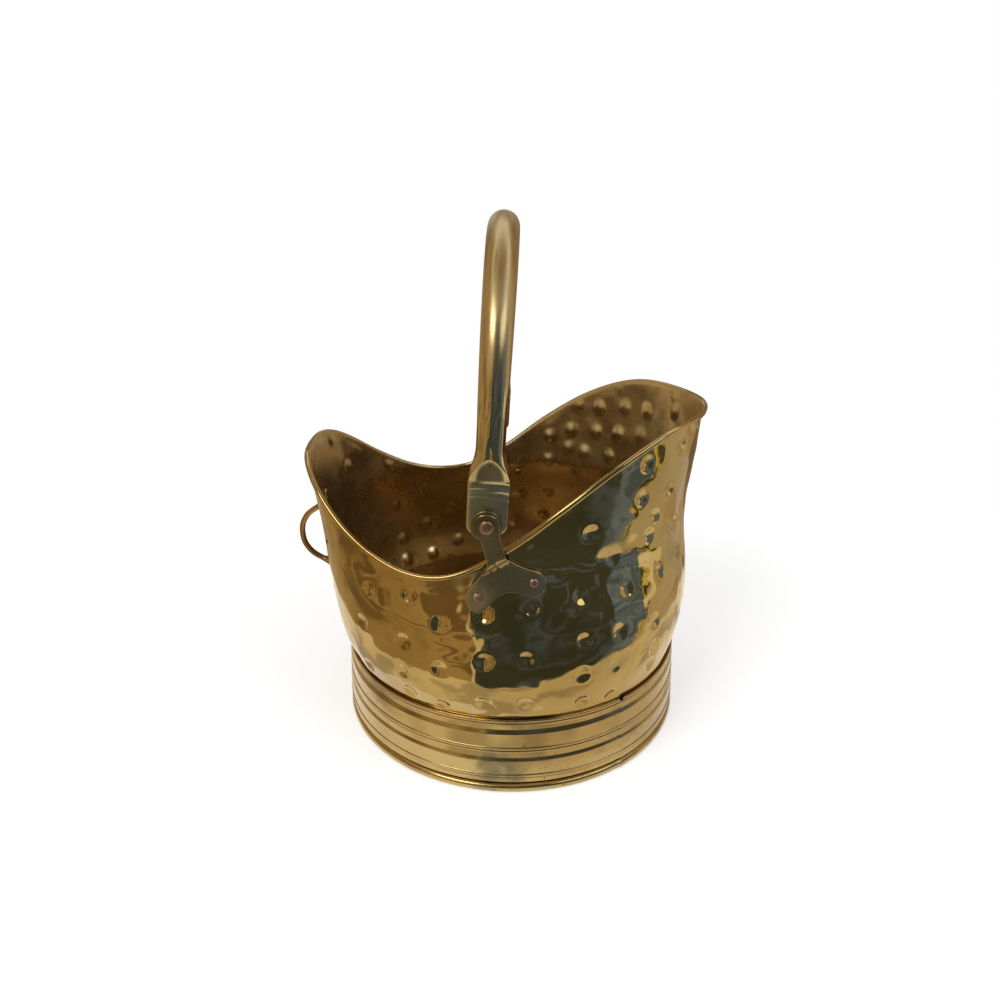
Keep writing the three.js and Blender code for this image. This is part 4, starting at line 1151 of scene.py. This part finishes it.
def bracket_outline():
    """The three-lobed outline, anticlockwise, with the pivot's eye at 0, 0."""
    neck, ear = BRACKET_NECK_WIDTH / 2, BRACKET_EAR_RADIUS
    middle = ear_x, ear_y = BRACKET_RIVET_SPACING / 2, -BRACKET_RIVET_DROP
    lobe = arc_2d(middle, ear, EAR_NOTCH_TURN, EAR_SHOULDER_TURN)
    notch = ear_y - EAR_NOTCH_RISE
    high_x, high_y = ear * math.cos(EAR_SHOULDER_TURN), ear * math.sin(EAR_SHOULDER_TURN)
    handle = (ear_x + high_x - high_y, ear_y + high_y + high_x)
    opening = math.asin(neck / BRACKET_EYE_RADIUS)
    right = [
        *bezier([(0, notch), (ear_x / 3, notch), lobe[0]], NOTCH_STEPS),
        *lobe[1:],
        *bezier(
            [lobe[-1], handle, (neck, ear_y + NECK_FLARE), (neck, -BRACKET_NECK_END)], NECK_STEPS
        )[1:],
        *arc_2d((0, 0), BRACKET_EYE_RADIUS, opening - math.pi / 2, math.pi / 2),
    ]
    return [*right, *[(-x, y) for x, y in right[-2:0:-1]]]


def on_bracket(p, q, tilt):
    """The x and z of a place on the tilted bracket, from its eye."""
    c, s = math.cos(tilt), math.sin(tilt)
    return PIVOT_X + p * c - q * s, PIVOT_Z + p * s + q * c


def bracket_place(flat, t, tilt):
    x, z = on_bracket(flat[:, 0], flat[:, 1], tilt)
    top = rim_top(x)
    body = body_side(x, np.minimum(z, top)) + WALL_SEAT_GAP
    leave = 1 - smoothstep(top - z, BRACKET_JOGGLE_END, BRACKET_JOGGLE_START)
    return np.stack([x, lerp(body, EYE_INNER_Y, leave) + t, z], -1)


def bracket(side):
    """A plate that follows the body, and leaves it below the rim for the eye. It is built in
    layers, from its face over its rounded edge to its back."""
    outline = np.array(bracket_outline())
    way = unit(np.roll(outline, -1, 0) - np.roll(outline, 1, 0))
    inset = outline - np.stack([way[:, 1], -way[:, 0]], -1) * EDGE_ROUND
    count = len(inset)
    edges = [(i, (i + 1) % count) for i in range(count)]
    grid = [
        Vector((x, y))
        for x in np.arange(*GRID_ACROSS, GRID_STEP)
        for y in np.arange(*GRID_UP, GRID_STEP)
        if np.min(np.linalg.norm(inset - (x, y), axis=1)) > GRID_CLEAR
    ]
    flat, _, faces, _, _, _ = delaunay_2d_cdt(
        [Vector(p) for p in inset] + grid, edges, [list(range(count))], 1, MERGE_DISTANCE
    )
    flat = np.array([tuple(v) for v in flat])
    quarter = math.pi / 2 * np.arange(EDGE_STEPS + 1) / EDGE_STEPS
    layers = [
        (flat, BRACKET_THICKNESS),
        *[
            (lerp(inset, outline, math.sin(a)), BRACKET_THICKNESS - EDGE_ROUND * (1 - math.cos(a)))
            for a in quarter[1:]
        ],
        *[
            (lerp(outline, inset, 1 - math.cos(a)), EDGE_ROUND * (1 - math.sin(a)))
            for a in quarter[:-1]
        ],
        (flat, 0),
    ]
    points = np.concatenate([bracket_place(layer, t, BRACKET_TILTS[side]) for layer, t in layers])
    starts = np.append(0, np.cumsum([len(layer) for layer, _ in layers]))
    made = [list(f) for f in faces]
    for start, after in zip(starts[:-2], starts[1:-1]):
        made += [[start + j, start + i, after + i, after + j] for i, j in edges]
    made += [[starts[-2] + k for k in f][::-1] for f in faces]
    if side == "near":
        points[:, 1] *= -1
    plate = mesh_object(f"bracket_plate_{side}", place(points), made)
    mesh = bmesh.new()
    mesh.from_mesh(plate.data)
    bmesh.ops.recalc_face_normals(mesh, faces=mesh.faces)
    mesh.to_mesh(plate.data)
    mesh.free()
    paint(plate, BRACKET_BRASS)
    finish_piece(plate, "scuttle", [f"bracket_{side}"], PLATE_CRISP)


# ---- Fasteners ----

FASTENERS = rivet_tree()
FASTENER_CRISP = 40
FASTENER_SEEDS = {"small_rivets": 3, "pivot_rivets": 5, "pivot_washers": 9}
RIVET_SIDES, TAIL_STEPS, HEAD_STEPS = 32, 5, 7
DOME_FULLNESS = 0.65
WASHER_SIDES = 48
WASHER_CHAMFER = 0.3
SLOPE_STEP = 1e-3
INNER_WASHER_Y = EYE_INNER_Y - 2 * SEAT_GAP - EYE_END_THICKNESS - WASHER_THICKNESS
OUTER_WASHER_Y = EYE_INNER_Y + BRACKET_THICKNESS + SEAT_GAP
# The near side is at -Y.
SIDES = {"near": -1, "far": 1}


def dome(radius, height, steps):
    """A peened head, flatter on top than a half round."""
    turns = [math.pi / 2 * i / steps for i in range(steps)]
    return [(radius * math.cos(t) ** DOME_FULLNESS, height * math.sin(t)) for t in turns]


def rivet(name, shank, head, head_height, tail_height, under, over):
    """A rivet that grips from the height under to the height over."""
    profile = [
        (0, under - tail_height),
        *[(r, under - z) for r, z in dome(head, tail_height, TAIL_STEPS)[::-1]],
        (shank, under),
        (shank, over),
        *[(r, over + z) for r, z in dome(head, head_height, HEAD_STEPS)],
        (0, over + head_height),
    ]
    return turned_solid(name, profile, RIVET_SIDES)


def washer():
    thick, edge = WASHER_THICKNESS, WASHER_RADIUS - WASHER_CHAMFER
    return lathed("washer", [
        (WASHER_BORE, 0), (edge, 0), (WASHER_RADIUS, WASHER_CHAMFER),
        (WASHER_RADIUS, thick - WASHER_CHAMFER), (edge, thick), (WASHER_BORE, thick),
    ], WASHER_SIDES)


def side_seat(x, z, side):
    """A place on the body's side, with the way that it faces."""
    slope_x = float(body_side(x + SLOPE_STEP, z) - body_side(x - SLOPE_STEP, z)) / (2 * SLOPE_STEP)
    slope_z = float(body_side(x, z + SLOPE_STEP) - body_side(x, z - SLOPE_STEP)) / (2 * SLOPE_STEP)
    way = unit(np.array([-slope_x, 1, -slope_z]))
    mirror = np.array([1, side, 1])
    return np.array([x, float(body_side(x, z)), z]) * mirror, way * mirror


def fastened(name, fastener, seats, finish, nodes):
    """One mesh of copies of a fastener, at seats of (point, facing)."""
    points, ways = zip(*seats)
    thing = mesh_object(name, place(points))
    add_attribute(thing.data, "facing", "FLOAT_VECTOR", "POINT", ways)
    values = {"Fastener": fastener, "Finish": finish, "Seed": FASTENER_SEEDS[name]}
    applied(thing, FASTENERS, values)
    bpy.data.objects.remove(fastener)
    finish_piece(thing, "scuttle", nodes, FASTENER_CRISP)


def small_rivets():
    seats, nodes = [], []
    for side, sign in SIDES.items():
        for end, aside in (("front", 1), ("back", -1)):
            p, q = aside * BRACKET_RIVET_SPACING / 2, -BRACKET_RIVET_DROP
            seats.append(side_seat(*on_bracket(p, q, BRACKET_TILTS[side]), sign))
            nodes.append(f"bracket_rivet_{end}_{side}")
    seats += [(body_point(math.pi, z), outwards(math.pi, z)) for z in LOOP_RIVET_HEIGHTS]
    nodes += ["loop_rivet_upper", "loop_rivet_lower"]
    under, over = -SHEET - SEAT_GAP, WALL_SEAT_GAP + BRACKET_THICKNESS + SEAT_GAP
    fastener = rivet("small_rivet", *SMALL_RIVET, under, over)
    fastened("small_rivets", fastener, seats, COPPER, nodes)


def pivots():
    def seats(*depths):
        return [
            (np.array([PIVOT_X, sign * y, PIVOT_Z]), np.array([0, sign, 0]))
            for sign in SIDES.values()
            for y in depths
        ]

    under, over = INNER_WASHER_Y - SEAT_GAP, OUTER_WASHER_Y + WASHER_THICKNESS + SEAT_GAP
    fastener = rivet("pivot_rivet", *PIVOT_RIVET, under, over)
    nodes = [f"pivot_rivet_{side}" for side in SIDES]
    fastened("pivot_rivets", fastener, seats(0), COPPER, nodes)
    nodes = [f"{part}_washer_{side}" for side in SIDES for part in ("outer", "inner")]
    both = seats(INNER_WASHER_Y, OUTER_WASHER_Y)
    fastened("pivot_washers", washer(), both, BRACKET_BRASS, nodes)


# ---- Studio ----

FLOOR_HALF = 6.0
FLOOR_TONE = (0.8, 0.8, 0.8, 1)
FLOOR_GLOW = 0.42
FLOOR_FADE = (0.3, 0.9)
WORLD_SEEN, WORLD_LIGHT = 1.0, 0.55
AIM = Vector((0, 0, 0.15))

# Cards reach from a bearing to another, in degrees from the near side towards the spout.
CARD_STEP = 4
CARD_GAP = 0.004
CARD_TURN = 0.65
CARD_REACH = 1.9
CARD_PATCH_BAND = (0.62, 0.72)
CARD_SHARE_SHIFT = 0.3
# How near a floor card comes at each bearing
NEAR_EDGE = [
    (-150, 0.3), (-100, 0.22), (-50, 0.24), (-16, 0.3), (22, 0.315), (60, 0.4), (72, 0.42),
    (90, 0.34), (210, 0.34),
]
# How far a card turns on towards the spout past its near edge, at each bearing
LEAN = [(0, 0), (58, 18), (74, 18), (125, 0)]

OLIVE = (0.07, 0.085, 0.085)
SLATE = (0.12, 0.18, 0.34)
UMBER = (0.24, 0.17, 0.09)
AMBER = (0.52, 0.39, 0.22)
SAND = (0.62, 0.57, 0.48)
CREAM = (0.95, 0.88, 0.72)
STEEL = (0.22, 0.33, 0.66)
GOLD = (0.85, 0.72, 0.22)
WHITE = (1, 1, 1)

# Name, near and far edge, height, dark and light tone, share of the light one, and its scale
RING_CARDS = [
    ("card_near", 0.15, 0.45, CARD_GAP / 2, SAND, CREAM, 0.75, 9.0),
    ("card_top", 0.01, 1.4, 2.6, UMBER, SAND, 0.5, 1.6),
]
# Name, bearings, height, and the same
ROUND_CARDS = [
    ("card_line", (-17, -15.4), 3.0, CREAM, WHITE, 0.5, 3.0),
    ("card_front", (-15.4, 46), 3.2, OLIVE, SLATE, 0.35, 3.0),
    ("card_slate", (46, 64), 3.0, SLATE, STEEL, 0.5, 6.0),
    ("card_gold", (64, 71), 2.4, OLIVE, GOLD, 0.5, 9.0),
    ("card_spout", (71, 122), 2.0, AMBER, SAND, 0.75, 2.5),
    ("card_spout_back", (122, 160), 2.0, UMBER, AMBER, 0.4, 3.0),
    ("card_behind", (160, 210), 1.6, UMBER, SAND, 0.5, 2.0),
    ("card_left", (-150, -17), 2.6, UMBER, AMBER, 0.7, 2.0),
]
STREAK = [(0.75, -0.15), (1.85, -0.3), (1.85, 0.1), (0.75, 0.02)]
# Name, place, side length and power
LAMPS = [("key", (-1.2, -1.4, 1.9), 1.2, 22), ("fill", (1.5, -1.0, 1.4), 1.4, 10)]


def matt_material(name):
    material, graph, shader = new_material(name)
    shader.inputs["Roughness"].default_value = 1.0
    shader.inputs["Specular IOR Level"].default_value = 0.0
    return material, graph, shader


def seen_directly(graph):
    """1 for what the camera, or the metal's own reflections, see."""
    path = graph.add("ShaderNodeLightPath").outputs
    seen = graph.math("MAXIMUM", path["Is Camera Ray"], path["Is Glossy Ray"])
    return graph.math("MAXIMUM", seen, path["Is Transmission Ray"])


def studio_floor():
    """Pale, and plain white where it is far off, so that no horizon shows."""
    corners = [(x * FLOOR_HALF, y * FLOOR_HALF, 0) for x, y in ((-1, -1), (1, -1), (1, 1), (-1, 1))]
    floor = mesh_object("floor", corners, [(0, 1, 2, 3)])
    material, graph, shader = matt_material("floor")
    reach = graph.add("ShaderNodeVectorMath", {"operation": "LENGTH"}, Vector=graph.coords())
    far = graph.band(reach.outputs["Value"], *FLOOR_FADE)
    graph.feed(shader.inputs["Base Color"], graph.blend(far, FLOOR_TONE, (0, 0, 0, 1)))
    shader.inputs["Emission Color"].default_value = (1, 1, 1, 1)
    glow = graph.plus(graph.times(far, 1 - FLOOR_GLOW), FLOOR_GLOW)
    graph.feed(shader.inputs["Emission Strength"], graph.times(glow, seen_directly(graph)))
    paint(floor, material)


def studio_world():
    world = bpy.data.worlds.new("studio")
    bpy.context.scene.world = world
    world.use_nodes = True
    graph = Graph(world.node_tree)
    background = world.node_tree.nodes["Background"]
    background.inputs["Color"].default_value = (1, 1, 1, 1)
    strength = graph.plus(graph.times(seen_directly(graph), WORLD_SEEN - WORLD_LIGHT), WORLD_LIGHT)
    graph.feed(background.inputs["Strength"], strength)


def card_finish(name, dark, light, share, scale):
    """A board painted in two tones, in soft patches. share is how much of it is the light one."""
    material, graph, shader = matt_material(name)
    noise = graph.noise(graph.coords(), scale, detail=2.0)
    patch = graph.band(noise, *(edge - CARD_SHARE_SHIFT * share for edge in CARD_PATCH_BAND))
    shader.inputs["Base Color"].default_value = (0, 0, 0, 1)
    graph.feed(shader.inputs["Emission Color"], graph.blend(patch, (*dark, 1), (*light, 1)))
    shader.inputs["Emission Strength"].default_value = 1.0
    return material


def studio_card(name, corners, faces, *finish):
    """A board that only the polished metal sees."""
    card = mesh_object(name, corners, faces)
    paint(card, card_finish(name, *finish))
    card.visible_camera = False
    card.visible_diffuse = False
    card.visible_shadow = False


def round_card(name, bearings, height, *finish):
    """A card that lies on the floor between two bearings, and stands up at its far end."""
    start, end = bearings
    stations = np.linspace(start, end, round((end - start) / CARD_STEP) + 2)
    corners = []
    for bearing in stations:
        near, lean = (float(np.interp(bearing, *zip(*curve))) for curve in (NEAR_EDGE, LEAN))
        section = [
            (near, 0, CARD_GAP), (CARD_TURN, lean, CARD_GAP), (CARD_REACH, lean, CARD_GAP),
            (CARD_REACH, lean, height),
        ]
        for reach, turn, z in section:
            angle = math.radians(bearing + turn)
            corners.append((reach * math.sin(angle), -reach * math.cos(angle), z))
    size = len(section)
    faces = [
        (a, a + 1, a + 1 + size, a + size)
        for i in range(len(stations) - 1)
        for a in range(size * i, size * i + size - 1)
    ]
    studio_card(name, corners, faces, *finish)


def ring_card(name, near, far, height, *finish):
    """A flat card all round the scuttle."""
    turns = np.radians(np.arange(0, 360, CARD_STEP))
    corners = [(r * math.sin(t), -r * math.cos(t), height) for t in turns for r in (near, far)]
    studio_card(name, corners, ring_faces(len(turns), 2, True)[::2], *finish)


def lamp(name, centre, size, power):
    data = bpy.data.lights.new(name, "AREA")
    data.shape = "RECTANGLE"
    data.size = data.size_y = size
    data.energy = power
    light = link(name, data)
    light.location = centre
    light.rotation_euler = (AIM - Vector(centre)).to_track_quat("-Z", "Y").to_euler()


def studio():
    studio_floor()
    studio_world()
    for card in RING_CARDS:
        ring_card(*card)
    for card in ROUND_CARDS:
        round_card(*card)
    corners = [(x, y, 2 * CARD_GAP) for x, y in STREAK]
    studio_card("card_streak", corners, [(0, 1, 2, 3)], CREAM, WHITE, 0.5, 3.0)
    for light in LAMPS:
        lamp(*light)


# ---- The scuttle ----

hammered_body()
foot_ring()
bail_handle()
back_loop()
for named_side in SIDES:
    bracket(named_side)
small_rivets()
pivots()
for node, finish in (("bottom_plate", PLATE_BRASS), ("rim_wire", IRON), ("foot_wire", IRON)):
    paint(frame["nodes"][node], finish)
studio()
